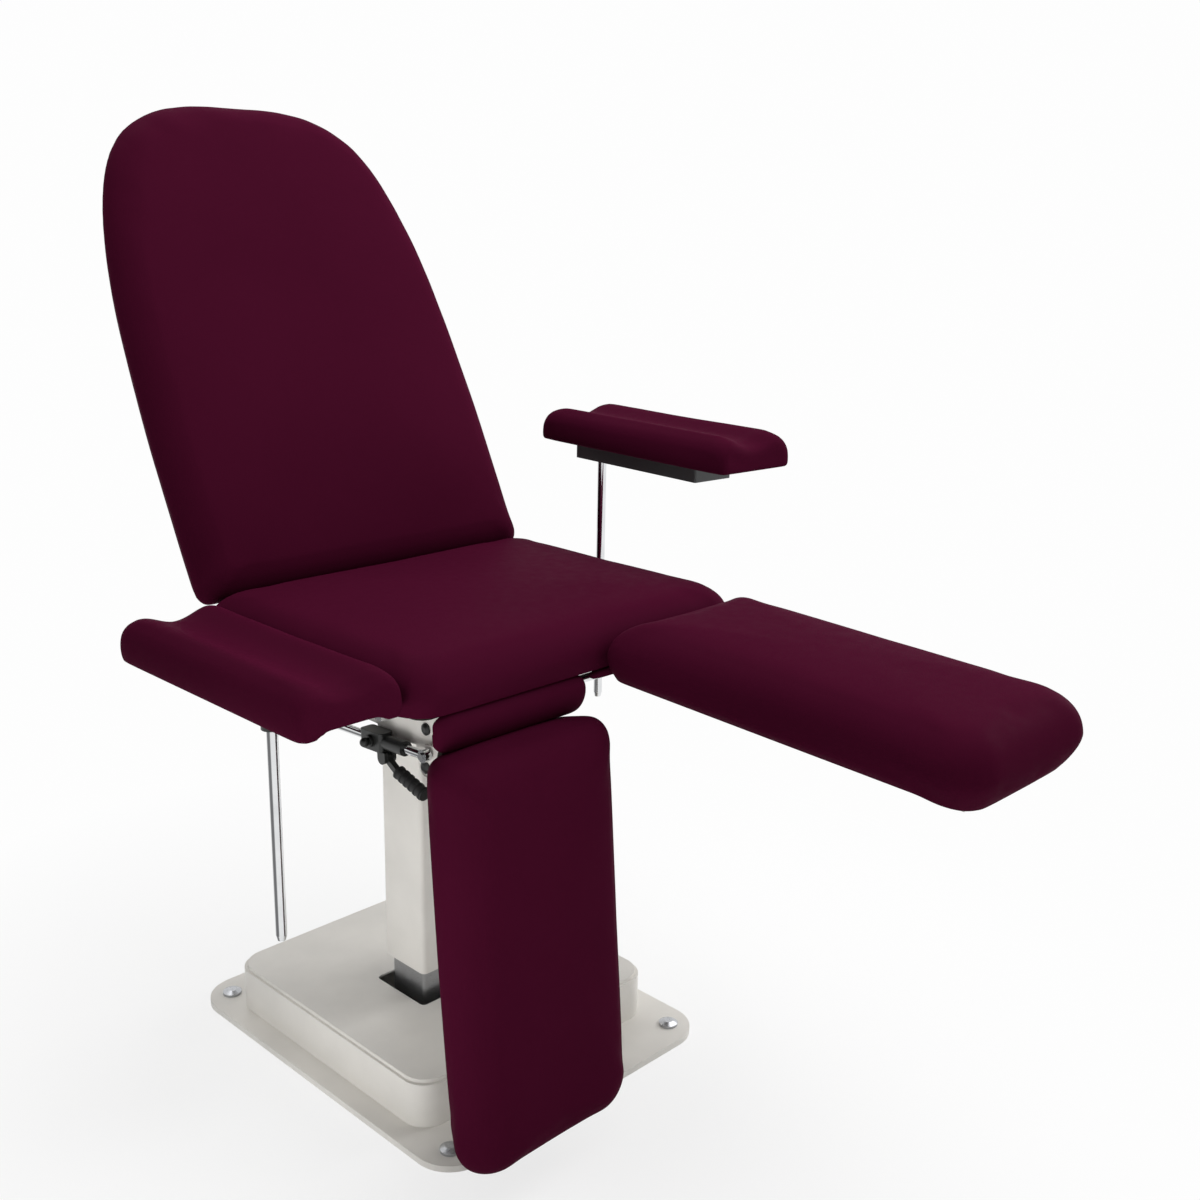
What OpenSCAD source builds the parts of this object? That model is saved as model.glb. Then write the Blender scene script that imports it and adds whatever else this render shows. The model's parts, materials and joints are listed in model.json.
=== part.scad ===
// Beauty treatment chair: a lifting column carries a seat, a reclining back,
// two leg rests that fold down on their own locks, and two sliding armrests.
// Front is -Y, up is +Z, the sitter's left is +X. The origin is on the floor
// under the centre of the column. The column is down.

/* [Seat] */
// Width of the seat cushion
seat_w = 620; // [600:5:640]
// Depth of the seat cushion, front to back
seat_d = 494; // [484:2:520]
// Thickness of the seat cushion at its crown
seat_t = 80; // [74:1:84]
// Height of the seat above the floor with the column down
seat_top_z = 750; // [730:5:790]
// Distance from the centre of the column back to the seat's rear edge
seat_rear = 176; // [170:1:182]
// Plan radius of the seat's front corners
seat_front_r = 60; // [40:1:75]
// Plan radius of the seat's rear corners
seat_rear_r = 40; // [25:1:55]

/* [Cushions] */
// Height of a cushion's crown above its edges
crown = 8; // [4:1:10]
// How far the seat cushion's sides are drawn in at the bottom
seat_drawn_in = 12; // [8:1:16]
// How far the back cushion's sides are drawn in at its rear
back_drawn_in = 18; // [12:1:22]
// How far a leg cushion's sides are drawn in at the bottom
leg_drawn_in = 22; // [14:1:26]
// How far a cushion's upper edge rounds in
edge_round = 43; // [34:1:48]
// Thickness of the boards under the cushions
board_t = 8; // [6:1:10]
// How far a board's edges lie inside its cushion
board_inset = 28; // [24:1:34]
// Corner radius of the boards
board_r = 20; // [10:1:30]

/* [Backrest] */
// Length of the back cushion
back_l = 800; // [700:10:880]
// Thickness of the back cushion
back_t = 81; // [76:1:84]
// Angle of the backrest above lying flat
back_angle = 63; // [58:1:64]
// Distance from the seat's rear edge back to the backrest's hinge
hinge_setback = 16; // [15:1:20]
// Depth of the backrest's hinge below the seat's top
hinge_drop = 60; // [56:1:64]
// Distance from the hinge up to the lower end of the back cushion
back_start = 18; // [18:1:24]
// Height of the cushion's face over the hinge
back_face = 71; // [66:1:71]
// How far the back cushion's sides lie inside the seat's
back_tuck = 5; // [3:1:10]
// Plan radius of the back cushion's lower corners
back_lower_r = 40; // [25:1:60]
// Side of the backrest's frame tubes
back_tube = 25; // [20:1:30]
// Distance from the middle to the outer faces of the long tubes
back_tube_x = 92; // [88:1:96]
// Wall of the backrest's frame tubes
back_tube_wall = 2; // [1.5:0.5:3]
// Gap between a hinge arm and its side plate
hinge_arm_gap = 14; // [12:1:20]
// Thickness of a hinge arm
hinge_arm_t = 8; // [6:1:10]
// Diameter of a hinge pin
hinge_pin_d = 10; // [8:1:12]

/* [Side plates] */
// Width of the seat frame over its side plates
frame_w = 480; // [470:5:490]
// Thickness of a side plate
plate_t = 8; // [6:1:10]
// Depth of a side plate from its top edge to the tab's bolt
plate_depth = 82; // [76:1:88]
// Depth of a side plate between its tab and its rear lug
plate_web = 50; // [46:1:56]
// Radius of the lug round the leg pivot
pivot_lug_r = 10; // [9:1:12]
// Radius of the lug round the backrest's hinge
hinge_lug_r = 12; // [10:1:13]
// Radius of the boss round the leg lock's trunnion
lock_boss_r = 12; // [10:1:14]
// Radius of the tab's lower end
tab_r = 14; // [12:1:16]
// Side of the square cross tubes
cross_tube = 30; // [26:1:34]
// Wall of the cross tubes
cross_wall = 2; // [1.5:0.5:3]

/* [Column] */
// Width of the outer column
column_w = 180; // [170:2:190]
// Depth of the outer column
column_d = 98; // [90:2:106]
// Wall of both columns
column_wall = 4; // [3:0.5:5]
// Corner radius of the outer column
column_r = 8; // [6:1:12]
// Height of the outer column's lower end
column_foot_z = 130; // [110:5:150]
// Gap between the two columns
column_gap = 4; // [3:0.5:5]
// Length of the inner column above the base plate
mast_l = 470; // [440:5:490]
// Thickness of the head plate on the column
head_t = 10; // [8:1:12]
// Diameter of the lifting actuator's tube
lift_tube_d = 56; // [50:1:60]
// Diameter of the lifting rod
lift_rod_d = 30; // [26:1:34]

/* [Base] */
// Width of the base plate
base_w = 540; // [520:10:600]
// Distance from the column's centre to the front of the base plate
base_front = 320; // [310:5:340]
// Distance from the column's centre to the rear of the base plate
base_rear = 330; // [325:5:350]
// Thickness of the base plate
base_t = 10; // [8:1:12]
// Corner radius of the base plate
base_r = 60; // [40:5:80]
// Height of the base cover's top above the floor
cover_top_z = 85; // [80:1:95]
// Wall of the base cover
cover_wall = 3; // [2.5:0.5:4]

/* [Leg rests] */
// Length of a leg cushion
leg_pad_l = 578; // [540:2:600]
// Gap between the seat and a raised leg cushion
leg_gap = 2; // [2:0.5:4]
// Half of the gap between the two leg cushions
leg_split = 4; // [2:0.5:6]
// How far a leg cushion's outer side lies inside the seat's
leg_tuck = 14; // [10:1:18]
// How far a raised leg cushion's crown stands above the seat's
leg_proud = 6; // [0:1:8]
// Plan radius of a leg cushion's far corners
leg_far_r = 58; // [40:1:70]
// Elevation of the right leg rest, folded down
right_leg_angle = -85.2; // [-87:0.1:-84]
// Elevation of the left leg rest, raised
left_leg_angle = -2; // [-3:0.1:-0.5]
// Distance from the seat's front edge back to the leg pivot
pivot_setback = 32; // [31:1:36]
// Diameter of the leg pivot shaft
pivot_d = 12; // [10:1:13]
// Side of a leg frame's tubes
leg_tube = 20; // [18:1:24]
// Wall of a leg frame's tubes
leg_tube_wall = 2; // [1.5:0.5:3]
// Length of a leg frame
leg_frame_l = 560; // [500:5:580]
// Height of the soft roll under the seat's front
roll_h = 22; // [18:1:26]

/* [Leg locks] */
// Distance from the leg pivot back to the lock's trunnion
lock_back = 117; // [115:1:119]
// Depth of the lock's trunnion below the leg pivot
lock_drop = 52; // [51:1:54]
// Distance along the leg frame to the lock rod's eye
eye_s = 45; // [44:1:46]
// Depth of the lock rod's eye under the leg board
eye_drop = 20; // [20:0.5:21]
// Diameter of the lock rod
lock_rod_d = 12; // [10:1:13]
// Length of the lock rod behind its eye
lock_rod_l = 215; // [205:1:225]
// Length of the lock's body
lock_l = 46; // [42:1:50]
// Height of the lock's body
lock_h = 26; // [24:1:28]
// Thickness of the lock's body
lock_t = 22; // [20:1:24]
// Length of the release lever's grip
grip_l = 60; // [50:1:66]
// Diameter of the grip
grip_d = 17; // [14:1:18]

/* [Armrests] */
// Gap between the seat and an armrest's cushion
arm_gap = 2; // [2:0.5:4]
// Width of an armrest's cushion
arm_pad_w = 156; // [144:2:166]
// Length of an armrest's cushion
arm_pad_l = 430; // [400:5:460]
// Height of an armrest's cushion at its rims
arm_pad_h = 54; // [48:1:62]
// Width of the tray under an armrest's cushion
tray_w = 78; // [74:1:90]
// Length of the tray
tray_l = 285; // [282:1:300]
// Height of the tray
tray_h = 28; // [26:1:32]
// Wall of the tray
tray_wall = 3; // [2.5:0.5:3.5]
// Width of the slot along the tray's underside
slot_w = 20; // [18:1:24]
// Length of the head that runs in the tray
head_l = 36; // [32:1:38]
// Diameter of an armrest's post
post_d = 15; // [13:1:16]
// Depth of the right tray's underside below the seat's top
right_tray_drop = 87; // [80:1:90]
// Height of the left tray's underside above the seat's top
left_tray_rise = 126; // [110:1:140]
// Length of the right post
right_post_l = 321.5; // [301.5:5:341.5]
// Length of the left post
left_post_l = 426.5; // [410.5:2:440.5]
// Place of the right post, front to back
right_post_y = -130; // [-140:1:-120]
// Place of the left post, front to back
left_post_y = 54; // [44:1:64]
// How far the left tray is pushed forward of its post
left_push = 120; // [100:1:120]
// How far the right tray is pushed back of its post
right_pull = 56; // [40:1:70]
// How far a cushion lies forward of its tray's middle
pad_lead = 20; // [0:1:30]
// How far the left armrest is turned in
left_yaw = 4.5; // [0:0.5:8]
// Diameter of the guide bar on the side plate
guide_d = 18; // [16:1:20]
// Depth of the guide bar's axis below the side plate's top edge
guide_drop = 14; // [14:1:18]
// Distance from a side plate out to the guide bar's axis
guide_out = 22; // [21:1:25]

/* [Hidden] */

$fn = 48;
quarter_turn = 90;
right = -1;
left = 1;

// Colours
vinyl = [0.27, 0.07, 0.15];
white_steel = [0.82, 0.82, 0.80];
black_steel = [0.13, 0.13, 0.12];
charcoal = [0.20, 0.22, 0.21];
chrome = [0.75, 0.76, 0.78];
zinc = [0.55, 0.56, 0.58];
board_stain = [0.14, 0.10, 0.08];
rubber_black = [0.10, 0.10, 0.10];

// Clearances and overruns
overrun = 1;
bore_play = 0.1;
slide_play = 0.3;
half_w = seat_w / 2;

// Heights and places of the seat frame
seat_bottom_z = seat_top_z - seat_t;
plate_top_z = seat_bottom_z - board_t;
seat_front_y = seat_rear - seat_d;
pivot_y = seat_front_y + pivot_setback;
pivot_z = plate_top_z - pivot_lug_r;
hinge_y = seat_rear + hinge_setback;
hinge_z = seat_top_z - hinge_drop;
plate_out_x = frame_w / 2;
plate_in_x = plate_out_x - plate_t;
hinge_arm_x = plate_in_x - hinge_arm_gap;
board_lip = 8;

// Outline of a side plate
plate_rise = 16;
heel_out = 10;
heel_drop = 28;
sweep_back = 76;
web_z = plate_top_z - plate_web;
boss_blend = 8;
tab_back = 34;
tab_y = pivot_y + tab_back;
tab_z = plate_top_z - plate_depth;
tab_top = 26;
tab_neck = 20;
neck_in = 20;
brow_in = 16;
brow_drop = 22;

// Cushion forms, as shares of the height and of the insets
corner_steps = 8;
height_shares = [0, 0.1, 0.24, 0.42, 0.6, 0.76, 0.89, 0.97, 1];
lower_inset_shares = [1, 0.66, 0.28, 0, 0, 0, 0, 0, 0];
upper_inset_shares = [0, 0, 0, 0, 0.05, 0.19, 0.41, 0.69, 1];
crown_ring_shares = [0.92, 0.8, 0.6, 0.4, 0.2];

// Side of the back cushion: share of its length, share of its half width
back_side_shares = [[0.3, 1], [0.4, 0.992], [0.5, 0.98], [0.6, 0.96], [0.7, 0.922],
    [0.79, 0.865], [0.87, 0.78], [0.93, 0.66], [0.97, 0.51], [0.992, 0.31]];

// Half section of an armrest's cushion, from the valley over the rim to the
// bottom: share of its half width, share of its height
gutter_shares = [[0.17, 0.785], [0.34, 0.86], [0.5, 0.95], [0.66, 1],
    [0.8, 0.965], [0.91, 0.85], [0.985, 0.64], [1, 0.4], [0.975, 0.12], [0.92, 0]];
valley_share = 0.765;
// Rings along it: share of its length, of its width and of its height
gutter_ring_shares = [[0, 0.91, 0.74], [0.011, 0.955, 0.87],
    [0.033, 0.985, 0.955], [0.075, 1, 1]];

// Section of the knee roll: share of its depth, share of its height
roll_shares = [[0.62, 0], [0.54, 0.16], [0.12, 0.2], [0, 0.44], [0.08, 0.73], [0.24, 0.94],
    [0.42, 1], [0.62, 0.92], [0.84, 0.66], [0.97, 0.36], [1, 0.12], [0.97, 0]];
flat_roll_shares = [[0.06, 0], [0, 0.4], [0.06, 0.85], [0.2, 1], [0.8, 1],
    [0.94, 0.85], [1, 0.4], [0.94, 0]];
// Rings along it: share of its end rounding, share of its section
roll_ring_shares = [[0, 0.55], [0.25, 0.82], [0.6, 0.96], [1, 1]];
roll_end = 26;
roll_over = 16;
roll_gap = 3;
roll_seat = 0.3;
roll_flat_h = 8;
roll_flat_s0 = 12;

// Column and what is inside it
column_in_w = column_w - 2 * column_wall;
column_in_d = column_d - 2 * column_wall;
mast_w = column_in_w - 2 * column_gap;
mast_d = column_in_d - 2 * column_gap;
mast_top_z = base_t + mast_l;
mast_r = 7;
guide_pad_l = 40;
guide_pad_w = 30;
head_bottom_z = plate_top_z - cross_tube - head_t;
head_w = 290;
head_d = 180;
head_r = 12;
lift_foot_t = 8;
lift_foot_d = mast_d - 2 * column_wall - column_gap;
lift_tube_l = 410;
lift_bore_floor = 126;
lift_rod_gap = 6;
cross_tube_ys = [-60, 60, 125];

// Small bracket on the column's rear face
bracket_z = 320;
bracket_h = 70;
bracket_out = 18;
bracket_x = -62;
bracket_sheet = 3;
bracket_foot_w = 38;
bracket_taper = 12;
bracket_bolt_rise = 26;
bracket_bolt_out = 10;
bolt_d = 13;
bolt_h = 5;

// Bolts of the side plates
cap_back = 32;
cap_drop = 19;
cap_y = pivot_y + cap_back;
cap_z = pivot_z - cap_drop;
cap_d = 16;
tab_cap_d = 17;
cap_h = 5;

// Base fittings
cover_w = 470;
cover_front = 225;
cover_rear = 262;
cover_r = 40;
cover_taper_t = 4;
cover_hole_gap = 10;
cover_rib_h = 6;
screw_cap_d = 30;
screw_cap_h = 8;
screw_stem_d = 12;
screw_inset = 42;
inlet_z = 48;
inlet_w = 50;
inlet_h = 30;
inlet_flange = 3;
inlet_body_w = 34;
inlet_body_h = 24;
inlet_depth = 28;
inlet_hole_w = 26;
inlet_hole_h = 17;
inlet_hole_depth = 22;
inlet_pin_w = 2;
inlet_pin_h = 5;
inlet_pin_l = 13;
inlet_pin_pitch = 7;
inlet_r = 3;

// Back frame
back_rear_w = back_face - back_t;
back_board_w = back_rear_w - board_t;
back_tube_w = back_board_w - back_tube;
back_tube_s0 = 30;
back_tube_end = 116;
back_bar_shares = [0.455, 0.815];
back_board_cut = 26;
arm_root_s = 60;
arm_root_in = 13;
arm_heel = 8;
arm_neck_w = 11;
arm_eye_r = 11;
arm_neck_z = 12;
arm_elbow_z = 28;
hinge_pin_in = 4;
lever_t = 6;
lever_r = 11;
joint_s = 50;
joint_w = -110;
lever_pin_d = 10;
lever_pin_l = 2;
lever_gap = 0.5;

// Back actuator: a body on the head plate and a rod to the backrest
actuator_x = 120;
actuator_y = 16;
actuator_drop = 108;
ear_in = 19;
ear_t = 5;
ear_r = 13;
ear_w = 44;
actuator_pin_d = 10;
actuator_lug_r = 12;
actuator_lug_t = 34;
actuator_tube_d = 44;
actuator_start = 36;
actuator_l = 176;
actuator_rod_d = 20;
actuator_rod_l = 190;
lever_x = actuator_x - actuator_rod_d / 2 - lever_pin_l - lever_gap;
actuator_nose_l = 14;
actuator_nose_d = 30;
rod_eye_r = 11;
rod_eye_t = 14;
motor_d = 42;
motor_l = 104;
motor_start = 30;
motor_drop = 40;
motor_web = 12;

// Leg rests, in the leg's own frame: s runs out along the leg, w is up
leg_pad_t = seat_top_z - pivot_z - board_t + leg_proud;
leg_s0 = pivot_setback + leg_gap;
leg_out_x = half_w - leg_tuck;
leg_board_s0 = 12;
leg_near_r = 24;
leg_tube_s0 = 6;
leg_tube_gap = 4;
leg_inner_tube_x = 82;
leg_sleeve_r = 9;
leg_bar_s = 300;
leg_bar_h = 16;

// Leg lock
lock_offset = 16;
lock_x = plate_out_x + lock_offset;
lock_y = pivot_y + lock_back;
lock_z = pivot_z - lock_drop;
lock_trunnion_d = 8;
lock_tube_d = 20;
lock_tube_l = 62;
eye_r = 8.5;
eye_t = 10;
eye_head_d = 10;
eye_head_h = 3;
bracket_plate_t = 4;
bracket_plate_gap = 3;
bracket_plate_s0 = 34;
bracket_plate_s1 = 58;
bracket_plate_drop = 30;
bracket_stub_d = 8;
bracket_stub_l = 2;
ear_fwd = 20;
lock_edge_r = 5;
lock_ear_r = 8;
lock_ear_t = 5;
lever_thick = 8;
lever_play = 0.5;
lever_bore_d = 6;
lever_eye_r = 7.5;
ear_down = lock_h / 2 + lever_eye_r + lever_play;
grip_fwd = 41;
grip_down = 35;
grip_slope = 19.3;
lever_rod_d = 8;
grip_wall_end = 5;
grip_rib_d = 19;
grip_ribs = 5;
grip_rib_w = 3;
cap_disc_d = 17;
cap_disc_h = 4;
cap_ball_d = 13;
cap_ball_out = 5;

// Armrests
arm_x = half_w + arm_gap + arm_pad_w / 2;
guide_x = plate_out_x + guide_out;
guide_z = plate_top_z - guide_drop;
guide_front_y = -200;
guide_rear_y = 140;
guide_block_t = 14;
guide_block_h = 24;
slider_in = 16;
slider_out = 18;
slider_h = 28;
slider_front = 20;
slider_rear = 40;
side_arm_h = 18;
side_arm_rear = 13;
socket_d = 28;
socket_h = 20;
knob_y = 28;
knob_screw_d = 8;
knob_screw_out = 6;
knob_d = 24;
knob_l = 18;
knob_lobes = 6;
knob_lobe_d = 8;
knob_lobe_out = 2;
post_knob_screw_d = 6;
post_foot_l = 8;
post_foot_d = 11;
neck_gap = 1.5;
swivel_gap = 0.2;
stub_d = 9;
stub_l = 20;

// Plain shapes

module sided(side) {
    if (side < 0)
        mirror([1, 0, 0]) children();
    else
        children();
}

module block(x0, x1, y0, y1, z0, z1) {
    translate([x0, y0, z0]) cube([x1 - x0, y1 - y0, z1 - z0]);
}

module rounded_rect(x0, x1, y0, y1, r) {
    translate([x0 + r, y0]) square([x1 - x0 - 2 * r, y1 - y0]);
    translate([x0, y0 + r]) square([x1 - x0, y1 - y0 - 2 * r]);
    for (x = [x0 + r, x1 - r], y = [y0 + r, y1 - r])
        translate([x, y]) circle(r);
}

module slab(x0, x1, y0, y1, z0, z1, r) {
    translate([0, 0, z0])
        linear_extrude(z1 - z0) rounded_rect(x0, x1, y0, y1, r);
}

// A sheet in the plane of y and z, from x0 to x1
module side_sheet(x0, x1) {
    translate([x0, 0, 0]) rotate([90, 0, 90]) linear_extrude(x1 - x0) children();
}

module x_rod(x0, x1, y, z, d) {
    translate([x0, y, z]) rotate([0, 90, 0]) cylinder(h = x1 - x0, d = d);
}

module y_rod(x, y0, y1, z, d) {
    translate([x, y0, z]) rotate([-90, 0, 0]) cylinder(h = y1 - y0, d = d);
}

module z_rod(x, y, z0, z1, d) {
    translate([x, y, z0]) cylinder(h = z1 - z0, d = d);
}

// Soft shapes

function corner_arc(x, y, r, start) =
    [for (i = [0 : corner_steps]) let (a = start + quarter_turn * i / corner_steps)
        [x + r * cos(a), y + r * sin(a)]];

function box_outline(x0, x1, y0, y1, front_r, rear_r) = concat(
    corner_arc(x1 - front_r, y0 + front_r, front_r, 3 * quarter_turn),
    corner_arc(x1 - rear_r, y1 - rear_r, rear_r, 0),
    corner_arc(x0 + rear_r, y1 - rear_r, rear_r, quarter_turn),
    corner_arc(x0 + front_r, y0 + front_r, front_r, 2 * quarter_turn));

function lowest(points, axis) = min([for (p = points) p[axis]]);
function highest(points, axis) = max([for (p = points) p[axis]]);
function middle(points, axis) = (lowest(points, axis) + highest(points, axis)) / 2;
function half_span(points, axis) = (highest(points, axis) - lowest(points, axis)) / 2;

// The outline drawn in by a length and then scaled, at height z
function ring(outline, inset, scale_share, z) =
    let (cx = middle(outline, 0), cy = middle(outline, 1),
        kx = scale_share * (1 - inset / half_span(outline, 0)),
        ky = scale_share * (1 - inset / half_span(outline, 1)))
    [for (p = outline) [cx + kx * (p.x - cx), cy + ky * (p.y - cy), z]];

// A closed skin through rings that run counterclockwise seen from the last
module loft(rings) {
    n = len(rings[0]);
    k = len(rings);
    first = [for (axis = [0 : 2]) middle(rings[0], axis)];
    last = [for (axis = [0 : 2]) middle(rings[k - 1], axis)];
    points = concat([for (r = rings) each r], [first, last]);
    sides = [for (j = [0 : k - 2], i = [0 : n - 1]) let (m = (i + 1) % n)
        each [[j * n + i, (j + 1) * n + i, (j + 1) * n + m],
            [j * n + i, (j + 1) * n + m, j * n + m]]];
    start_cap = [for (i = [0 : n - 1]) [k * n, i, (i + 1) % n]];
    end_cap = [for (i = [0 : n - 1]) [k * n + 1, (k - 1) * n + (i + 1) % n, (k - 1) * n + i]];
    polyhedron(points, concat(sides, start_cap, end_cap), convexity = 4);
}

// A crowned cushion over an outline, from z = 0 up to its height
module cushion(outline, height, drawn_in) {
    edge_z = height - crown;
    walls = [for (i = [0 : len(height_shares) - 1])
        ring(outline, drawn_in * lower_inset_shares[i] + edge_round * upper_inset_shares[i],
            1, edge_z * height_shares[i])];
    tops = [for (k = crown_ring_shares)
        ring(outline, edge_round, k, edge_z + crown * (1 - k * k))];
    loft(concat(walls, tops));
}

// Base

module base_plate() {
    color(white_steel) difference() {
        slab(-base_w / 2, base_w / 2, -base_front, base_rear, 0, base_t, base_r);
        for (p = screw_places())
            z_rod(p.x, p.y, -overrun, base_t + overrun, screw_stem_d + bore_play);
    }
}

function screw_places() =
    [for (x = [-1, 1], y = [-base_front + screw_inset, base_rear - screw_inset])
        [x * (base_w / 2 - screw_inset), y]];

module levelling_screws() {
    color(zinc) for (p = screw_places()) {
        z_rod(p.x, p.y, 0, base_t, screw_stem_d);
        z_rod(p.x, p.y, base_t, base_t + screw_cap_h / 2, screw_cap_d);
        translate([p.x, p.y, base_t + screw_cap_h / 2])
            cylinder(h = screw_cap_h / 2, d1 = screw_cap_d, d2 = screw_cap_d / 2);
    }
}

// The cover stands on the base plate round the foot of the column
module base_cover() {
    hole_w = column_w + 2 * cover_hole_gap;
    hole_d = column_d + 2 * cover_hole_gap;
    step_z = cover_top_z - cover_rib_h;
    color(white_steel) difference() {
        union() {
            slab(-cover_w / 2, cover_w / 2, -cover_front, cover_rear, base_t, step_z, cover_r);
            slab(-cover_w / 2 + cover_taper_t, cover_w / 2 - cover_taper_t,
                -cover_front + cover_taper_t, cover_rear - cover_taper_t,
                step_z - overrun, cover_top_z, cover_r);
        }
        slab(-cover_w / 2 + cover_taper_t + cover_wall, cover_w / 2 - cover_taper_t - cover_wall,
            -cover_front + cover_taper_t + cover_wall, cover_rear - cover_taper_t - cover_wall,
            base_t - overrun, cover_top_z - cover_wall, cover_r);
        slab(-hole_w / 2, hole_w / 2, -hole_d / 2, hole_d / 2,
            base_t, cover_top_z + overrun, column_r);
        block(-inlet_body_w / 2 - slide_play, inlet_body_w / 2 + slide_play,
            cover_rear / 2, cover_rear + overrun,
            inlet_z - inlet_body_h / 2 - slide_play, inlet_z + inlet_body_h / 2 + slide_play);
    }
}

module power_inlet() {
    color(black_steel) {
        difference() {
            union() {
                block(-inlet_body_w / 2, inlet_body_w / 2, cover_rear - inlet_depth, cover_rear,
                    inlet_z - inlet_body_h / 2, inlet_z + inlet_body_h / 2);
                translate([0, cover_rear + inlet_flange, inlet_z]) rotate([90, 0, 0])
                    linear_extrude(inlet_flange)
                    rounded_rect(-inlet_w / 2, inlet_w / 2, -inlet_h / 2, inlet_h / 2, inlet_r);
            }
            block(-inlet_hole_w / 2, inlet_hole_w / 2,
                cover_rear - inlet_hole_depth, cover_rear + inlet_flange + overrun,
                inlet_z - inlet_hole_h / 2, inlet_z + inlet_hole_h / 2);
        }
        for (i = [-1, 0, 1])
            block(i * inlet_pin_pitch - inlet_pin_w / 2, i * inlet_pin_pitch + inlet_pin_w / 2,
                cover_rear - inlet_hole_depth - overrun, cover_rear - inlet_hole_depth + inlet_pin_l,
                inlet_z - inlet_pin_h / 2, inlet_z + inlet_pin_h / 2);
    }
}

// Column

module column_tube(w, d, wall, r, z0, z1) {
    translate([0, 0, z0]) linear_extrude(z1 - z0) difference() {
        rounded_rect(-w / 2, w / 2, -d / 2, d / 2, r);
        rounded_rect(-w / 2 + wall, w / 2 - wall, -d / 2 + wall, d / 2 - wall, r - wall);
    }
}

module mast() {
    color(zinc)
        column_tube(mast_w, mast_d, column_wall, mast_r, base_t, mast_top_z);
}

// Slide pads on the mast's four faces, just clear of the outer column
module mast_guides() {
    z0 = mast_top_z - guide_pad_l;
    pad_t = column_gap - slide_play;
    color(rubber_black) for (x = [-1, 1]) {
        for (y = [-1, 1]) {
            at_x = x * (mast_w / 2 - guide_pad_w) - guide_pad_w / 2;
            at_y = y > 0 ? mast_d / 2 : -mast_d / 2 - pad_t;
            block(at_x, at_x + guide_pad_w, at_y, at_y + pad_t, z0, mast_top_z);
        }
        side_x = x > 0 ? mast_w / 2 : -mast_w / 2 - pad_t;
        block(side_x, side_x + pad_t, -guide_pad_w / 2, guide_pad_w / 2, z0, mast_top_z);
    }
}

module lift_actuator() {
    top_z = base_t + lift_tube_l;
    color(black_steel) difference() {
        union() {
            z_rod(0, 0, base_t, base_t + lift_foot_t, lift_foot_d);
            z_rod(0, 0, base_t, top_z, lift_tube_d);
        }
        z_rod(0, 0, base_t + lift_bore_floor, top_z + overrun, lift_rod_d + bore_play);
    }
}

module lift_rod() {
    color(chrome)
        z_rod(0, 0, base_t + lift_bore_floor + lift_rod_gap, head_bottom_z, lift_rod_d);
}

module column_sleeve() {
    color(white_steel)
        column_tube(column_w, column_d, column_wall, column_r, column_foot_z, head_bottom_z);
}

// A folded sheet: a foot on the column and a tapered ear that stands out
module column_bracket() {
    y0 = column_d / 2;
    color(white_steel) {
        block(bracket_x, bracket_x + bracket_foot_w, y0, y0 + bracket_sheet,
            bracket_z + bracket_taper, bracket_z + bracket_h - bracket_taper);
        side_sheet(bracket_x, bracket_x + bracket_sheet)
            polygon([[y0, bracket_z], [y0, bracket_z + bracket_h],
                [y0 + bracket_out, bracket_z + bracket_h - bracket_taper],
                [y0 + bracket_out, bracket_z + bracket_taper]]);
    }
}

// The head plate, with the two ears that hold the back actuator's pin
module head_plate() {
    ear_x = [actuator_x - ear_in - ear_t, actuator_x + ear_in];
    color(white_steel) {
        slab(-head_w / 2, head_w / 2, -head_d / 2, head_d / 2,
            head_bottom_z, head_bottom_z + head_t, head_r);
        for (x = ear_x)
            side_sheet(x, x + ear_t) {
                translate([actuator_y, actuator_pivot_z()]) circle(ear_r);
                polygon([[actuator_y - ear_r, actuator_pivot_z()],
                    [actuator_y + ear_r, actuator_pivot_z()],
                    [actuator_y + ear_w / 2, head_bottom_z + head_t / 2],
                    [actuator_y - ear_w / 2, head_bottom_z + head_t / 2]]);
            }
        x_rod(ear_x[0], ear_x[1] + ear_t, actuator_y, actuator_pivot_z(), actuator_pin_d);
    }
}

// Seat frame

module cross_tubes() {
    z0 = plate_top_z - cross_tube;
    color(white_steel) for (y = cross_tube_ys)
        side_sheet(-plate_in_x, plate_in_x)
            translate([y - cross_tube / 2, z0]) difference() {
                square(cross_tube);
                translate([cross_wall, cross_wall]) square(cross_tube - 2 * cross_wall);
            }
}

// Rounded lugs of a side plate: place in y and z, and radius
plate_lugs = [[pivot_y, pivot_z, pivot_lug_r], [hinge_y, hinge_z, hinge_lug_r],
    [lock_y, lock_z, lock_boss_r], [tab_y, tab_z, tab_r]];

module side_plate_outline() {
    polygon([[pivot_y, plate_top_z], [hinge_y - plate_rise, plate_top_z],
        [hinge_y - hinge_lug_r, hinge_z], [hinge_y + hinge_lug_r, hinge_z],
        [hinge_y + heel_out, plate_top_z - heel_drop], [hinge_y - sweep_back, web_z],
        [lock_y + lock_boss_r + boss_blend, web_z], [lock_y + lock_boss_r, lock_z],
        [lock_y - lock_boss_r, lock_z], [tab_y + tab_neck, tab_z + tab_top],
        [tab_y + tab_r, tab_z], [tab_y - tab_r, tab_z],
        [pivot_y + neck_in, tab_z + tab_top], [pivot_y + brow_in, plate_top_z - brow_drop],
        [pivot_y - pivot_lug_r, pivot_z]]);
}

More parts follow.
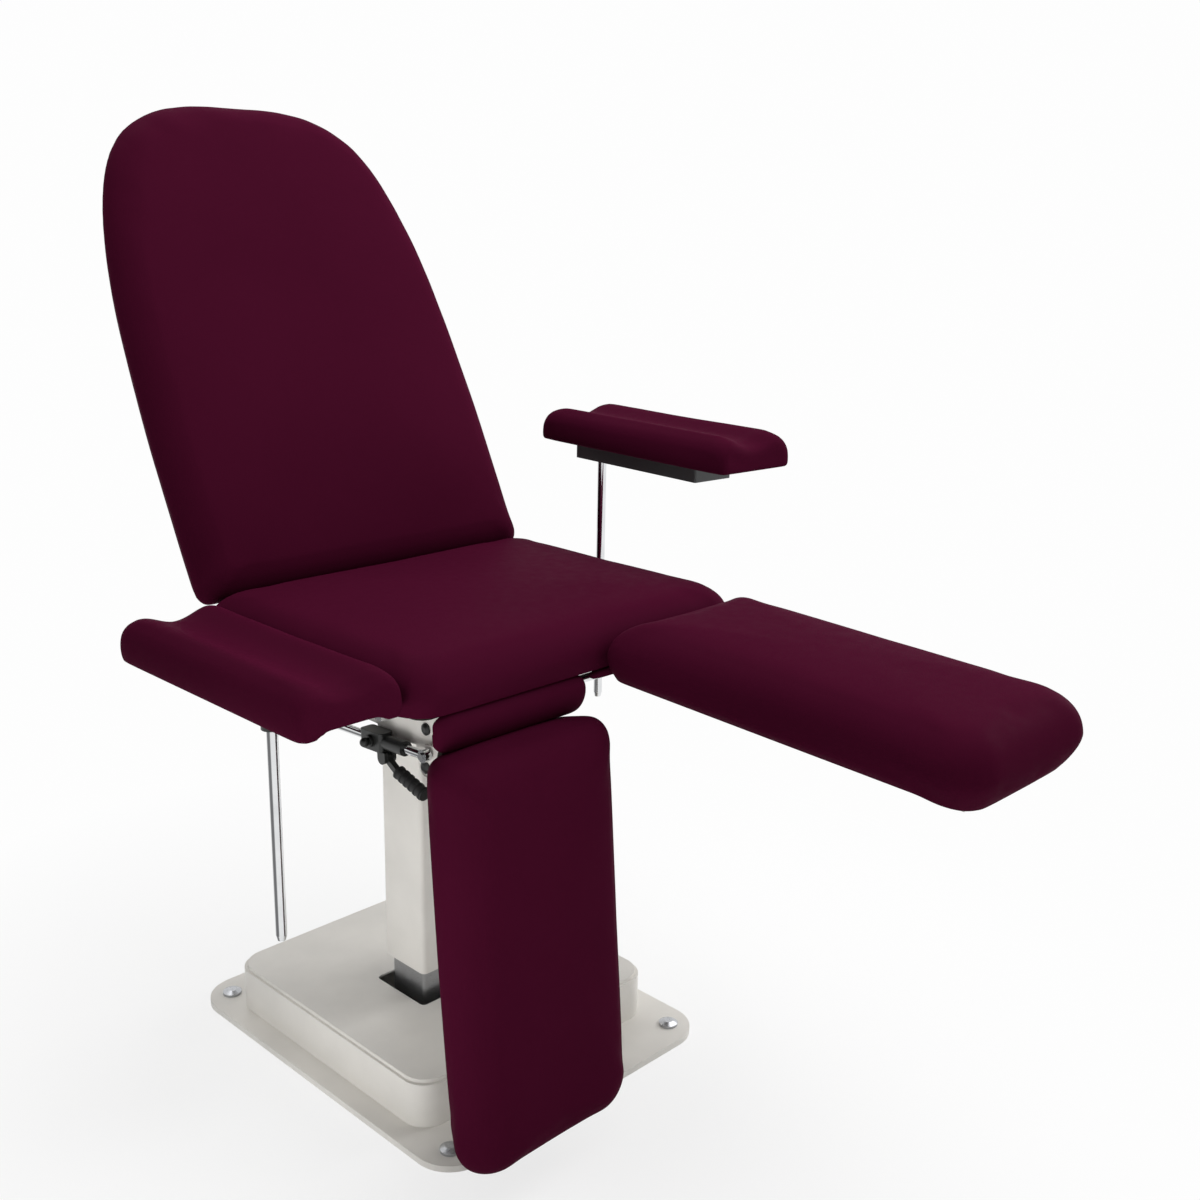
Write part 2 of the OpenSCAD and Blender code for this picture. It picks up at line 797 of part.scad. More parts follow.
module side_plate(side) {
    color(white_steel) sided(side) difference() {
        union() {
            side_sheet(plate_in_x, plate_out_x) side_plate_outline();
            for (lug = plate_lugs)
                x_rod(plate_in_x, plate_out_x, lug[0], lug[1], 2 * lug[2]);
        }
        x_rod(plate_in_x - overrun, plate_out_x + overrun, pivot_y, pivot_z, pivot_d + bore_play);
        x_rod(plate_in_x - overrun, plate_out_x + overrun, hinge_y, hinge_z,
            hinge_pin_d + bore_play);
        x_rod(plate_in_x - overrun, plate_out_x + overrun, lock_y, lock_z,
            lock_trunnion_d + bore_play);
    }
}

module leg_pivot_shaft() {
    color(chrome) x_rod(-plate_out_x, plate_out_x, pivot_y, pivot_z, pivot_d);
}

// Domed black bolts: two on each side plate and one on the column bracket
module frame_bolts() {
    color(black_steel) {
        for (side = [right, left]) sided(side) {
            dome(plate_out_x, cap_y, cap_z, cap_d, cap_h);
            dome(plate_out_x, tab_y, tab_z, tab_cap_d, cap_h);
        }
        sided(right) dome(-bracket_x, column_d / 2 + bracket_bolt_out,
            bracket_z + bracket_bolt_rise, bolt_d, bolt_h);
    }
}

module dome(x, y, z, d, h) {
    translate([x, y, z]) rotate([0, 90, 0]) {
        cylinder(h = h / 2, d = d);
        translate([0, 0, h / 2]) cylinder(h = h / 2, d1 = d, d2 = d / 2);
    }
}

module seat_board() {
    color(board_stain)
        slab(-half_w + board_inset, half_w - board_inset,
            pivot_y - board_lip, seat_rear - board_inset,
            plate_top_z, seat_bottom_z, board_r);
}

module seat_pad() {
    color(vinyl) translate([0, 0, seat_bottom_z])
        cushion(box_outline(-half_w, half_w, seat_front_y, seat_rear, seat_front_r, seat_rear_r),
            seat_t, seat_drawn_in);
}

// Backrest, drawn flat: y runs up the back from the hinge, z is towards the sitter

module back_place() {
    translate([0, hinge_y, hinge_z]) rotate([back_angle, 0, 0]) children();
}

function back_point(s, w) =
    [hinge_y + s * cos(back_angle) - w * sin(back_angle),
        hinge_z + s * sin(back_angle) + w * cos(back_angle)];

module back_hinge_pins() {
    color(zinc) for (side = [right, left]) sided(side)
        x_rod(hinge_arm_x - hinge_arm_t - hinge_pin_in, plate_out_x,
            hinge_y, hinge_z, hinge_pin_d);
}

function back_outline() =
    let (w = half_w - back_tuck,
        right_side = [for (p = back_side_shares) [w * p[1], back_start + back_l * p[0]]],
        n = len(right_side))
    concat(corner_arc(w - back_lower_r, back_start + back_lower_r, back_lower_r, 3 * quarter_turn),
        right_side,
        [for (i = [n - 1 : -1 : 0]) [-right_side[i].x, right_side[i].y]],
        corner_arc(-w + back_lower_r, back_start + back_lower_r, back_lower_r, 2 * quarter_turn));

module back_pad() {
    color(vinyl) back_place() translate([0, 0, back_rear_w])
        cushion(back_outline(), back_t, back_drawn_in);
}

module back_board() {
    color(board_stain) back_place() translate([0, 0, back_board_w])
        linear_extrude(board_t)
        polygon([for (p = ring(back_outline(), back_board_cut, 1, 0)) [p.x, p.y]]);
}

// Two long tubes, three cross bars, two hinge arms and the actuator's lever
module back_frame() {
    long_l = back_l - back_tube_end;
    color(white_steel) back_place() difference() {
        union() {
            for (side = [right, left]) sided(side) {
                block(back_tube_x - back_tube, back_tube_x, back_tube_s0, back_tube_s0 + long_l,
                    back_tube_w, back_board_w);
                side_sheet(hinge_arm_x - hinge_arm_t, hinge_arm_x) hinge_arm_outline();
            }
            block(-hinge_arm_x, hinge_arm_x, back_tube_s0, back_tube_s0 + back_tube,
                back_tube_w, back_board_w);
            for (share = back_bar_shares)
                block(-back_tube_x, back_tube_x, back_l * share, back_l * share + back_tube,
                    back_tube_w, back_board_w);
            side_sheet(lever_x - lever_t, lever_x) actuator_lever_outline();
            x_rod(lever_x - lever_t, lever_x + lever_pin_l, joint_s, joint_w, lever_pin_d);
        }
        for (side = [right, left]) sided(side)
            block(back_tube_x - back_tube + back_tube_wall, back_tube_x - back_tube_wall,
                back_tube_s0 + back_tube_wall, back_tube_s0 + long_l - back_tube_wall,
                back_tube_w + back_tube_wall, back_board_w - back_tube_wall);
        x_rod(-hinge_arm_x - overrun, hinge_arm_x + overrun, 0, 0, hinge_pin_d + bore_play);
    }
}

module hinge_arm_outline() {
    circle(arm_eye_r);
    polygon([[-arm_eye_r, 0], [-arm_eye_r, -arm_elbow_z], [arm_heel, back_tube_w],
        [arm_root_s, back_tube_w], [arm_root_s, back_board_w],
        [arm_root_in, back_board_w], [arm_neck_w, -arm_neck_z], [arm_eye_r, 0]]);
}

module actuator_lever_outline() {
    translate([joint_s, joint_w]) circle(lever_r);
    polygon([[joint_s - lever_r, joint_w], [joint_s + lever_r, joint_w],
        [back_tube_s0 + back_tube, back_tube_w + overrun],
        [back_tube_s0, back_tube_w + overrun]]);
}

// Back actuator, in its own frame: y runs from its lower pin to the backrest

function actuator_pivot_z() = head_bottom_z - actuator_drop;
function actuator_run() = back_point(joint_s, joint_w) - [actuator_y, actuator_pivot_z()];

module actuator_place() {
    run = actuator_run();
    translate([actuator_x, actuator_y, actuator_pivot_z()])
        rotate([atan2(run.y, run.x), 0, 0]) children();
}

module back_actuator_body() {
    color(black_steel) actuator_place() difference() {
        union() {
            x_rod(-actuator_lug_t / 2, actuator_lug_t / 2, 0, 0, 2 * actuator_lug_r);
            block(-actuator_lug_t / 2, actuator_lug_t / 2, 0, actuator_start + overrun,
                -actuator_lug_r, actuator_lug_r);
            y_rod(0, actuator_start, actuator_l - actuator_nose_l, 0, actuator_tube_d);
            y_rod(0, actuator_start, actuator_l, 0, actuator_nose_d);
            y_rod(0, motor_start, motor_start + motor_l, -motor_drop, motor_d);
            block(-motor_web, motor_web, actuator_start, motor_start + motor_l / 2,
                -motor_drop, 0);
        }
        x_rod(-actuator_lug_t, actuator_lug_t, 0, 0, actuator_pin_d + bore_play);
        y_rod(0, actuator_start, actuator_l + overrun, 0, actuator_rod_d + bore_play);
    }
}

module back_actuator_rod() {
    reach = norm(actuator_run());
    color(chrome) actuator_place() difference() {
        union() {
            y_rod(0, reach - actuator_rod_l, reach, 0, actuator_rod_d);
            x_rod(-rod_eye_t / 2, rod_eye_t / 2, reach, 0, 2 * rod_eye_r);
        }
        x_rod(-actuator_rod_d, actuator_rod_d, reach, 0, lever_pin_d + bore_play);
    }
}

// Leg rests

function leg_angle(side) = side < 0 ? right_leg_angle : left_leg_angle;

module leg_place(side) {
    sided(side) translate([0, pivot_y, pivot_z]) rotate([-leg_angle(side), 0, 0]) children();
}

// Tubes that swing on sleeves round the pivot shaft, and two cross bars
module leg_frame(side) {
    outer_x = plate_in_x - leg_tube_gap - leg_tube;
    color(white_steel) leg_place(side) difference() {
        union() {
            for (x = [outer_x, leg_inner_tube_x]) {
                block(x, x + leg_tube, -leg_frame_l, -leg_tube_s0, -leg_tube, 0);
                x_rod(x, x + leg_tube, 0, 0, 2 * leg_sleeve_r);
            }
            for (s = [leg_bar_s, leg_frame_l - leg_tube])
                block(leg_inner_tube_x, outer_x, -s - leg_tube, -s, -leg_bar_h, 0);
        }
        for (x = [outer_x, leg_inner_tube_x])
            block(x + leg_tube_wall, x + leg_tube - leg_tube_wall,
                leg_tube_wall - leg_frame_l, -2 * leg_sleeve_r,
                leg_tube_wall - leg_tube, -leg_tube_wall);
        x_rod(0, half_w, 0, 0, pivot_d + bore_play);
    }
}

module leg_board(side) {
    color(board_stain) leg_place(side)
        slab(leg_split + board_inset, leg_out_x - board_inset,
            -leg_s0 - leg_pad_l + board_inset, -leg_board_s0, 0, board_t, board_r);
}

module leg_pad(side) {
    color(vinyl) leg_place(side) translate([0, 0, board_t])
        cushion(box_outline(leg_split, leg_out_x, -leg_s0 - leg_pad_l, -leg_s0,
            leg_far_r, leg_near_r), leg_pad_t, leg_drawn_in);
}

function roll_ring(side, x, scale_share) =
    let (shares = side < 0 ? roll_shares : flat_roll_shares,
        height = side < 0 ? roll_h : roll_flat_h,
        s0 = side < 0 ? -roll_over : roll_flat_s0,
        s1 = leg_s0 - roll_gap, cs = (s0 + s1) / 2)
    [for (p = shares)
        [x, -(cs + scale_share * (s0 + (s1 - s0) * p[0] - cs)),
            board_t + roll_seat + scale_share * height * p[1]]];

// The roll is plump on a hanging leg and pressed flat under the seat on a raised one
module knee_roll(side) {
    n = len(roll_ring_shares);
    near = [for (p = roll_ring_shares) roll_ring(side, leg_split + roll_end * p[0], p[1])];
    far = [for (i = [n - 1 : -1 : 0]) let (p = roll_ring_shares[i])
        roll_ring(side, leg_out_x - roll_end * p[0], p[1])];
    color(vinyl) leg_place(side) loft(concat(near, far));
}

// Leg locks: a rod that slides through a body on the side plate

function eye_at(side) = let (a = leg_angle(side))
    [pivot_y - eye_s * cos(a) - eye_drop * sin(a), pivot_z + eye_s * sin(a) - eye_drop * cos(a)];
function lock_run(side) = eye_at(side) - [lock_y, lock_z];

module lock_place(side) {
    run = lock_run(side);
    sided(side) translate([lock_x, lock_y, lock_z])
        rotate([-atan2(run.y, -run.x), 0, 0]) children();
}

// The bracket under the leg board, with a stub towards the rod's eye
module lock_bracket(side) {
    x0 = plate_out_x + bracket_plate_gap;
    strap_x = plate_in_x - leg_tube_gap;
    color(white_steel) leg_place(side) {
        block(strap_x, x0 + bracket_plate_t, -bracket_plate_s1, -bracket_plate_s0,
            -bracket_plate_t, 0);
        block(x0, x0 + bracket_plate_t, -bracket_plate_s1, -bracket_plate_s0,
            -bracket_plate_drop, 0);
        x_rod(x0, x0 + bracket_plate_t + bracket_stub_l, -eye_s, -eye_drop, bracket_stub_d);
    }
}

module lock_body(side) {
    ear_top = lock_h / 2 - overrun;
    color(black_steel) lock_place(side) difference() {
        union() {
            slab(-lock_t / 2, lock_t / 2, -lock_l / 2, lock_l / 2, -lock_h / 2, lock_h / 2,
                lock_edge_r);
            y_rod(0, -lock_tube_l, 0, 0, lock_tube_d);
            x_rod(plate_in_x - lock_x, 0, 0, 0, lock_trunnion_d);
            for (x = [lever_thick / 2 + lever_play, -lever_thick / 2 - lever_play - lock_ear_t])
                side_sheet(x, x + lock_ear_t) {
                    translate([-ear_fwd, -ear_down]) circle(lock_ear_r);
                    translate([-ear_fwd - lock_ear_r, -ear_down])
                        square([2 * lock_ear_r, ear_down - ear_top]);
                }
            x_rod(-lever_thick / 2 - lever_play - lock_ear_t, lever_thick / 2 + lever_play + lock_ear_t,
                -ear_fwd, -ear_down, lever_bore_d);
        }
        y_rod(0, -lock_tube_l - overrun, lock_l / 2 + overrun, 0, lock_rod_d + bore_play);
    }
}

module lock_rod(side) {
    reach = norm(lock_run(side));
    color(chrome) lock_place(side) {
        y_rod(0, -reach, lock_rod_l - reach, 0, lock_rod_d);
        x_rod(-eye_t / 2, eye_t / 2, -reach, 0, 2 * eye_r);
        x_rod(eye_t / 2, eye_t / 2 + eye_head_h, -reach, 0, eye_head_d);
    }
}

// The release lever: an eye on the body's pin, an arm and a rod for the grip
module lock_lever(side) {
    arm_run = [grip_fwd - ear_fwd, grip_down - ear_down];
    color(black_steel) lock_place(side) difference() {
        union() {
            x_rod(-lever_thick / 2, lever_thick / 2, -ear_fwd, -ear_down, 2 * lever_eye_r);
            translate([0, -ear_fwd, -ear_down]) rotate([atan2(arm_run.y, arm_run.x), 0, 0])
                block(-lever_thick / 2, lever_thick / 2, -norm(arm_run), 0,
                    -lever_rod_d / 2, lever_rod_d / 2);
            grip_axis() y_rod(0, grip_wall_end - grip_l, 0, 0, lever_rod_d);
            grip_axis() sphere(d = lever_rod_d);
        }
        x_rod(-lever_thick, lever_thick, -ear_fwd, -ear_down, lever_bore_d + bore_play);
    }
}

module grip_axis() {
    translate([0, -grip_fwd, -grip_down]) rotate([grip_slope, 0, 0]) children();
}

module lock_grip(side) {
    pitch = (grip_l - 2 * grip_wall_end) / grip_ribs;
    color(rubber_black) lock_place(side) grip_axis() difference() {
        union() {
            y_rod(0, -grip_l, -lever_rod_d / 2, 0, grip_d);
            for (i = [0 : grip_ribs])
                y_rod(0, -grip_wall_end - i * pitch - grip_rib_w / 2,
                    -grip_wall_end - i * pitch + grip_rib_w / 2, 0, grip_rib_d);
        }
        y_rod(0, grip_wall_end - grip_l, overrun, 0, lever_rod_d + bore_play);
    }
}

module lock_cap(side) {
    color(black_steel) lock_place(side) {
        x_rod(lock_t / 2, lock_t / 2 + cap_disc_h, 0, 0, cap_disc_d);
        translate([lock_t / 2 + cap_disc_h + cap_ball_out, 0, 0]) sphere(d = cap_ball_d);
    }
}

// Armrests

function post_y(side) = side < 0 ? right_post_y : left_post_y;
function tray_z(side) = seat_top_z + (side < 0 ? -right_tray_drop : left_tray_rise);
function post_top_z(side) = tray_z(side) - neck_gap;
function post_foot_z(side) = post_top_z(side) - (side < 0 ? right_post_l : left_post_l);

module guide_bar(side) {
    color(chrome) sided(side) {
        y_rod(guide_x, guide_front_y, guide_rear_y, guide_z, guide_d);
        for (y = [guide_front_y, guide_rear_y - guide_block_t])
            block(plate_out_x, guide_x + guide_d / 2, y, y + guide_block_t,
                guide_z - guide_block_h / 2, guide_z + guide_block_h / 2);
    }
}

// The slider: a block round the guide bar, a side arm and a socket for the post
module slider(side) {
    color(black_steel) sided(side) translate([0, post_y(side), guide_z]) difference() {
        union() {
            block(guide_x - slider_in, guide_x + slider_out, -slider_front, slider_rear,
                -slider_h / 2, slider_h / 2);
            translate([0, 0, -side_arm_h / 2]) linear_extrude(side_arm_h)
                polygon([[guide_x + slider_out - overrun, -slider_front],
                    [arm_x, -socket_d / 2], [arm_x, side_arm_rear],
                    [guide_x + slider_out - overrun, side_arm_rear]]);
            z_rod(arm_x, 0, -socket_h / 2, socket_h / 2, socket_d);
        }
        y_rod(guide_x, -slider_front - overrun, slider_rear + overrun, 0, guide_d + bore_play);
        z_rod(arm_x, 0, -socket_h, socket_h, post_d + bore_play);
        x_rod(guide_x, guide_x + slider_out + overrun, knob_y, 0, knob_screw_d + bore_play);
        y_rod(arm_x, 0, socket_d, 0, post_knob_screw_d + bore_play);
    }
}

// A clamp knob along +z: a screw and a lobed head
module clamp_knob(screw_d, screw_l) {
    difference() {
        union() {
            cylinder(h = screw_l + overrun, d = screw_d);
            translate([0, 0, screw_l]) cylinder(h = knob_l, d = knob_d);
        }
        for (i = [1 : knob_lobes]) rotate([0, 0, 360 * i / knob_lobes])
            translate([knob_d / 2 + knob_lobe_out, 0, screw_l + knob_l / 4])
                cylinder(h = knob_l, d = knob_lobe_d);
    }
}

module slider_knob(side) {
    x0 = guide_x + guide_d / 2 + slide_play;
    color(black_steel) sided(side) translate([x0, post_y(side) + knob_y, guide_z])
        rotate([0, 90, 0])
        clamp_knob(knob_screw_d, guide_x + slider_out + knob_screw_out - x0);
}

module post_knob(side) {
    y0 = post_d / 2 + slide_play;
    color(black_steel) sided(side) translate([arm_x, post_y(side) + y0, guide_z])
        rotate([-90, 0, 0])
        clamp_knob(post_knob_screw_d, socket_d / 2 + knob_screw_out - y0);
}

// A post with a chamfered foot and a bore in its top for the head's stub
module post(side) {
    foot_z = post_foot_z(side);
    top_z = post_top_z(side);
    color(chrome) sided(side) translate([arm_x, post_y(side), 0]) difference() {
        union() {
            z_rod(0, 0, foot_z + post_foot_l, top_z, post_d);
            translate([0, 0, foot_z]) cylinder(h = post_foot_l, d1 = post_foot_d, d2 = post_d);
        }
        z_rod(0, 0, top_z - stub_l - slide_play, top_z + overrun, stub_d + bore_play);
    }
}

function yaw(side) = side < 0 ? 0 : -left_yaw;
function push(side) = side < 0 ? -right_pull : left_push;

// Places what turns on the post: y runs to the rear, z from the tray's underside
module head_place(side) {
    sided(side) translate([arm_x, post_y(side), tray_z(side)])
        rotate([0, 0, yaw(side)]) children();
}

module post_head(side) {
    inner_w = tray_w - 2 * tray_wall - 2 * slide_play;
    play = side < 0 ? 0 : swivel_gap;
    color(zinc) head_place(side) {
        block(-inner_w / 2, inner_w / 2, -head_l / 2, head_l / 2,
            tray_wall + slide_play, tray_h - tray_wall - slide_play);
        z_rod(0, 0, play - neck_gap, tray_wall + slide_play + overrun, post_d);
        z_rod(0, 0, -neck_gap - stub_l, 0, stub_d);
    }
}

// A channel that hangs on the head, open along its underside
module tray(side) {
    half_l = tray_l / 2;
    color(charcoal) head_place(side) translate([0, -push(side), 0]) difference() {
        slab(-tray_w / 2, tray_w / 2, -half_l, half_l, 0, tray_h, tray_wall);
        block(-tray_w / 2 + tray_wall, tray_w / 2 - tray_wall,
            -half_l + tray_wall, half_l - tray_wall, tray_wall, tray_h - tray_wall);
        block(-slot_w / 2, slot_w / 2, -half_l + tray_wall, half_l - tray_wall,
            -overrun, tray_wall + overrun);
    }
}

function gutter_ring(y, width_share, height_share) =
    let (half = arm_pad_w / 2 * width_share, h = arm_pad_h * height_share, n = len(gutter_shares))
    concat([[0, y, h * valley_share]],
        [for (p = gutter_shares) [half * p[0], y, h * p[1]]],
        [for (i = [n - 1 : -1 : 0]) [-half * gutter_shares[i][0], y, h * gutter_shares[i][1]]]);

// A gutter-shaped cushion with rounded ends
module arm_pad(side) {
    n = len(gutter_ring_shares);
    front = [for (p = gutter_ring_shares)
        gutter_ring(arm_pad_l * (p[0] - 1 / 2), p[1], p[2])];
    rear = [for (i = [n - 1 : -1 : 0]) let (p = gutter_ring_shares[i])
        gutter_ring(arm_pad_l * (1 / 2 - p[0]), p[1], p[2])];
    color(vinyl) head_place(side) translate([0, -push(side) - pad_lead, tray_h])
        loft(concat(front, rear));
}

base_plate();
base_cover();
levelling_screws();
power_inlet();
mast();
mast_guides();
lift_actuator();
lift_rod();
column_sleeve();
column_bracket();
head_plate();
cross_tubes();
side_plate(right);  // right_side_plate
side_plate(left);  // left_side_plate
leg_pivot_shaft();
frame_bolts();
seat_board();
seat_pad();
back_hinge_pins();
back_frame();
back_board();
back_pad();
back_actuator_body();
back_actuator_rod();
leg_frame(right);  // right_leg_frame
leg_board(right);  // right_leg_board
leg_pad(right);  // right_leg_pad
knee_roll(right);  // right_knee_roll
lock_bracket(right);  // right_lock_bracket
lock_body(right);  // right_lock_body
lock_rod(right);  // right_lock_rod
lock_lever(right);  // right_lock_lever
lock_grip(right);  // right_lock_grip
lock_cap(right);  // right_lock_cap
leg_frame(left);  // left_leg_frame
leg_board(left);  // left_leg_board
leg_pad(left);  // left_leg_pad
knee_roll(left);  // left_knee_roll
lock_bracket(left);  // left_lock_bracket
lock_body(left);  // left_lock_body
lock_rod(left);  // left_lock_rod
lock_lever(left);  // left_lock_lever
lock_grip(left);  // left_lock_grip
lock_cap(left);  // left_lock_cap
guide_bar(right);  // right_guide_bar
slider(right);  // right_slider
slider_knob(right);  // right_slider_knob
post(right);  // right_post
post_knob(right);  // right_post_knob
post_head(right);  // right_post_head
tray(right);  // right_tray
arm_pad(right);  // right_arm_pad
guide_bar(left);  // left_guide_bar
slider(left);  // left_slider
slider_knob(left);  // left_slider_knob
post(left);  // left_post
post_knob(left);  // left_post_knob
post_head(left);  // left_post_head
tray(left);  // left_tray
arm_pad(left);  // left_arm_pad
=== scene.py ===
"""Looks of the beauty treatment chair: upholstery, finishes, studio light and camera.

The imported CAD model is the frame. Every soft CAD solid is replaced by a cushion
made here, and every other CAD node keeps its shape and gets a material.
Lengths are metres, in the frame's own axes: front is -Y, up is +Z.
"""

import json
import math

import bpy
import numpy as np
from mathutils import Matrix, Vector


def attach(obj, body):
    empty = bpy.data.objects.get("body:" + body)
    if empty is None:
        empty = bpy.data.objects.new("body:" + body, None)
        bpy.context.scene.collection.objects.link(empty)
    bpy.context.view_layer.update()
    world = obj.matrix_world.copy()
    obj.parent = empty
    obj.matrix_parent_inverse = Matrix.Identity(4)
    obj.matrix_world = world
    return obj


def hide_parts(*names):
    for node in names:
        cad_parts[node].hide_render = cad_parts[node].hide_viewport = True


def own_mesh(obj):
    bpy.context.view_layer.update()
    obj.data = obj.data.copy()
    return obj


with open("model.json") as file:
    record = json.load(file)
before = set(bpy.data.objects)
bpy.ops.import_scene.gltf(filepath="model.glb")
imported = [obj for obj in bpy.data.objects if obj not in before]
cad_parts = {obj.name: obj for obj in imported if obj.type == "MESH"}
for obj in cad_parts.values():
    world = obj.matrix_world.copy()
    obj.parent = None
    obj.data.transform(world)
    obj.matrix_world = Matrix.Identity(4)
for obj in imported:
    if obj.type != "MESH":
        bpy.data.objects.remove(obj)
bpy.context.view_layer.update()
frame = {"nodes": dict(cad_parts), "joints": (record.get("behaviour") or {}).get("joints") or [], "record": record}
scene = bpy.context.scene
SIDES = ("right", "left")

# Camera, at the photograph's viewing angle
CAMERA_PLACE = (-1.3038, -1.5947, 1.2827)
CAMERA_TURN_DEG = -45.80
CAMERA_PITCH_DEG = 15.57
CAMERA_ROLL_DEG = 1.13
CAMERA_LENS_MM = 42.27
CAMERA_SENSOR_MM = 36.0

# Rest angles of the parts that carry cushions
BACK_DEG = 63.0
LEG_DEG = {"right": -85.2, "left": -2.0}
ARM_YAW_DEG = {"right": 0.0, "left": -4.5}

# Colours, linear light. The vinyl's gloss is a specular level
VINYL = (0.064, 0.0048, 0.0208)
VINYL_DARK = (0.058, 0.0043, 0.0188)
WHITE_PAINT = (0.86, 0.835, 0.785)
BLACK_PAINT = (0.012, 0.013, 0.012)
CHARCOAL_PAINT = (0.060, 0.066, 0.066)
CHROME = (0.80, 0.81, 0.82)
ZINC = (0.48, 0.49, 0.51)
RUBBER = (0.010, 0.010, 0.010)
STAINED_WOOD = (0.030, 0.018, 0.014)
STAINED_GRAIN = (0.016, 0.010, 0.008)
BACKDROP = (0.985, 0.985, 0.985)
VINYL_GLOSS = 0.002
# Painted reflection: the dark base colour put on polished chrome where it faces the studio's dark side
CHROME_PAINTED_REFLECTION = (0.05, 0.05, 0.055)
# Painted reflection: chrome whose normal faces this way gets a darker base colour, standing in for the studio's
# dark side mirrored in it
CHROME_PAINTED_REFLECTION_SIDE = (-0.97, -0.24, 0.0)


def set_up_scene():
    """View settings, and enough frames for the cloth."""
    scene.view_settings.view_transform = "Standard"
    scene.frame_start = 1
    scene.frame_end = 30


def make_camera():
    """The calibrated camera: its matrix is built from turn, pitch and roll."""
    turn = math.radians(-CAMERA_TURN_DEG)
    pitch = math.radians(CAMERA_PITCH_DEG)
    roll = math.radians(CAMERA_ROLL_DEG)
    forward = Vector((math.sin(turn) * math.cos(pitch), math.cos(turn) * math.cos(pitch),
                      -math.sin(pitch)))
    level = Vector((math.cos(turn), -math.sin(turn), 0.0))
    up = level.cross(forward)
    right = level * math.cos(roll) + up * math.sin(roll)
    up = up * math.cos(roll) - level * math.sin(roll)
    data = bpy.data.cameras.new("camera")
    data.lens = CAMERA_LENS_MM
    data.sensor_width = CAMERA_SENSOR_MM
    data.clip_end = 60
    camera = bpy.data.objects.new("camera", data)
    axes = Matrix((right, up, -forward)).transposed().to_4x4()
    camera.matrix_world = Matrix.Translation(CAMERA_PLACE) @ axes
    scene.collection.objects.link(camera)
    scene.camera = camera


# Materials

class Nodes:
    """A material's node tree, with short calls for what the finishes need."""

    def __init__(self, name):
        self.material = bpy.data.materials.new(name)
        self.material.use_nodes = True
        self.tree = self.material.node_tree
        self.shader = self.tree.nodes["Principled BSDF"]

    def new(self, kind, **values):
        node = self.tree.nodes.new(kind)
        for key, value in values.items():
            if hasattr(node, key):
                setattr(node, key, value)
            else:
                node.inputs[key.replace("_", " ")].default_value = value
        return node

    def link(self, out, into):
        self.tree.links.new(out, into)

    def set(self, **values):
        for key, value in values.items():
            socket = self.shader.inputs[key.replace("_", " ")]
            if isinstance(value, tuple) and len(value) == 3:
                value = (*value, 1.0)
            socket.default_value = value

    def place(self):
        return self.new("ShaderNodeTexCoord").outputs["Object"]

    def noise(self, scale, detail=2.0, stretch=None):
        node = self.new("ShaderNodeTexNoise", Scale=scale, Detail=detail)
        source = self.place()
        if stretch:
            mapping = self.new("ShaderNodeMapping")
            mapping.inputs["Scale"].default_value = stretch
            self.link(source, mapping.inputs["Vector"])
            source = mapping.outputs["Vector"]
        self.link(source, node.inputs["Vector"])
        return node.outputs["Fac"]

    def mix(self, fac, first, second):
        """A colour between two colours, by a value from 0 to 1."""
        node = self.new("ShaderNodeMix", data_type="RGBA")
        self.link(fac, node.inputs["Factor"])
        node.inputs["A"].default_value = (*first, 1.0)
        node.inputs["B"].default_value = (*second, 1.0)
        return node.outputs["Result"]

    def spread(self, fac, low, high, start=0.3, end=0.7):
        """A value from low to high as fac goes from start to end."""
        node = self.new("ShaderNodeMapRange")
        self.link(fac, node.inputs["Value"])
        for key, value in (("From Min", start), ("From Max", end), ("To Min", low), ("To Max", high)):
            node.inputs[key].default_value = value
        return node.outputs["Result"]

    def bump(self, height, distance, strength=1.0, normal=None):
        node = self.new("ShaderNodeBump", Strength=strength, Distance=distance)
        self.link(height, node.inputs["Height"])
        if normal:
            self.link(normal, node.inputs["Normal"])
        return node.outputs["Normal"]

    def soft_edges(self, radius):
        """Normals that round the solid's sharp edges by a radius."""
        return self.new("ShaderNodeBevel", samples=4, Radius=radius).outputs["Normal"]

    def use_normal(self, normal):
        self.link(normal, self.shader.inputs["Normal"])


def vinyl_material():
    """Burgundy upholstery vinyl: fine pebbled grain, low gloss, slight change of tone."""
    m = Nodes("burgundy_vinyl")
    broad = m.noise(scale=3.2, detail=3.0)
    m.link(m.mix(m.spread(broad, 0.0, 1.0), VINYL_DARK, VINYL), m.shader.inputs["Base Color"])
    grain = m.new("ShaderNodeTexVoronoi", feature="SMOOTH_F1", Scale=620.0)
    m.link(m.place(), grain.inputs["Vector"])
    pores = m.noise(scale=1500.0)
    waves = m.noise(scale=22.0, detail=3.0)
    worn = m.noise(scale=60.0, detail=3.0)
    m.link(m.spread(worn, low=0.46, high=0.58), m.shader.inputs["Roughness"])
    m.set(Specular_IOR_Level=VINYL_GLOSS)
    normal = m.bump(waves, distance=0.0010, strength=0.30)
    normal = m.bump(grain.outputs["Distance"], distance=0.00020, strength=0.5, normal=normal)
    m.use_normal(m.bump(pores, distance=0.00008, strength=0.4, normal=normal))
    return m.material


def paint_material(name, color, rough, peel=0.00006, edge=0.0012, worn=0.9):
    """Powder coat: orange peel, soft edges and a slight change of tone."""
    m = Nodes(name)
    tone = m.noise(scale=9.0, detail=4.0)
    darker = tuple(c * worn for c in color)
    m.link(m.mix(m.spread(tone, 0.0, 1.0), darker, color), m.shader.inputs["Base Color"])
    sheen = m.noise(scale=40.0, detail=3.0)
    m.link(m.spread(sheen, rough - 0.04, rough + 0.05), m.shader.inputs["Roughness"])
    m.use_normal(m.bump(m.noise(scale=520.0), peel, strength=0.5, normal=m.soft_edges(edge)))
    return m.material


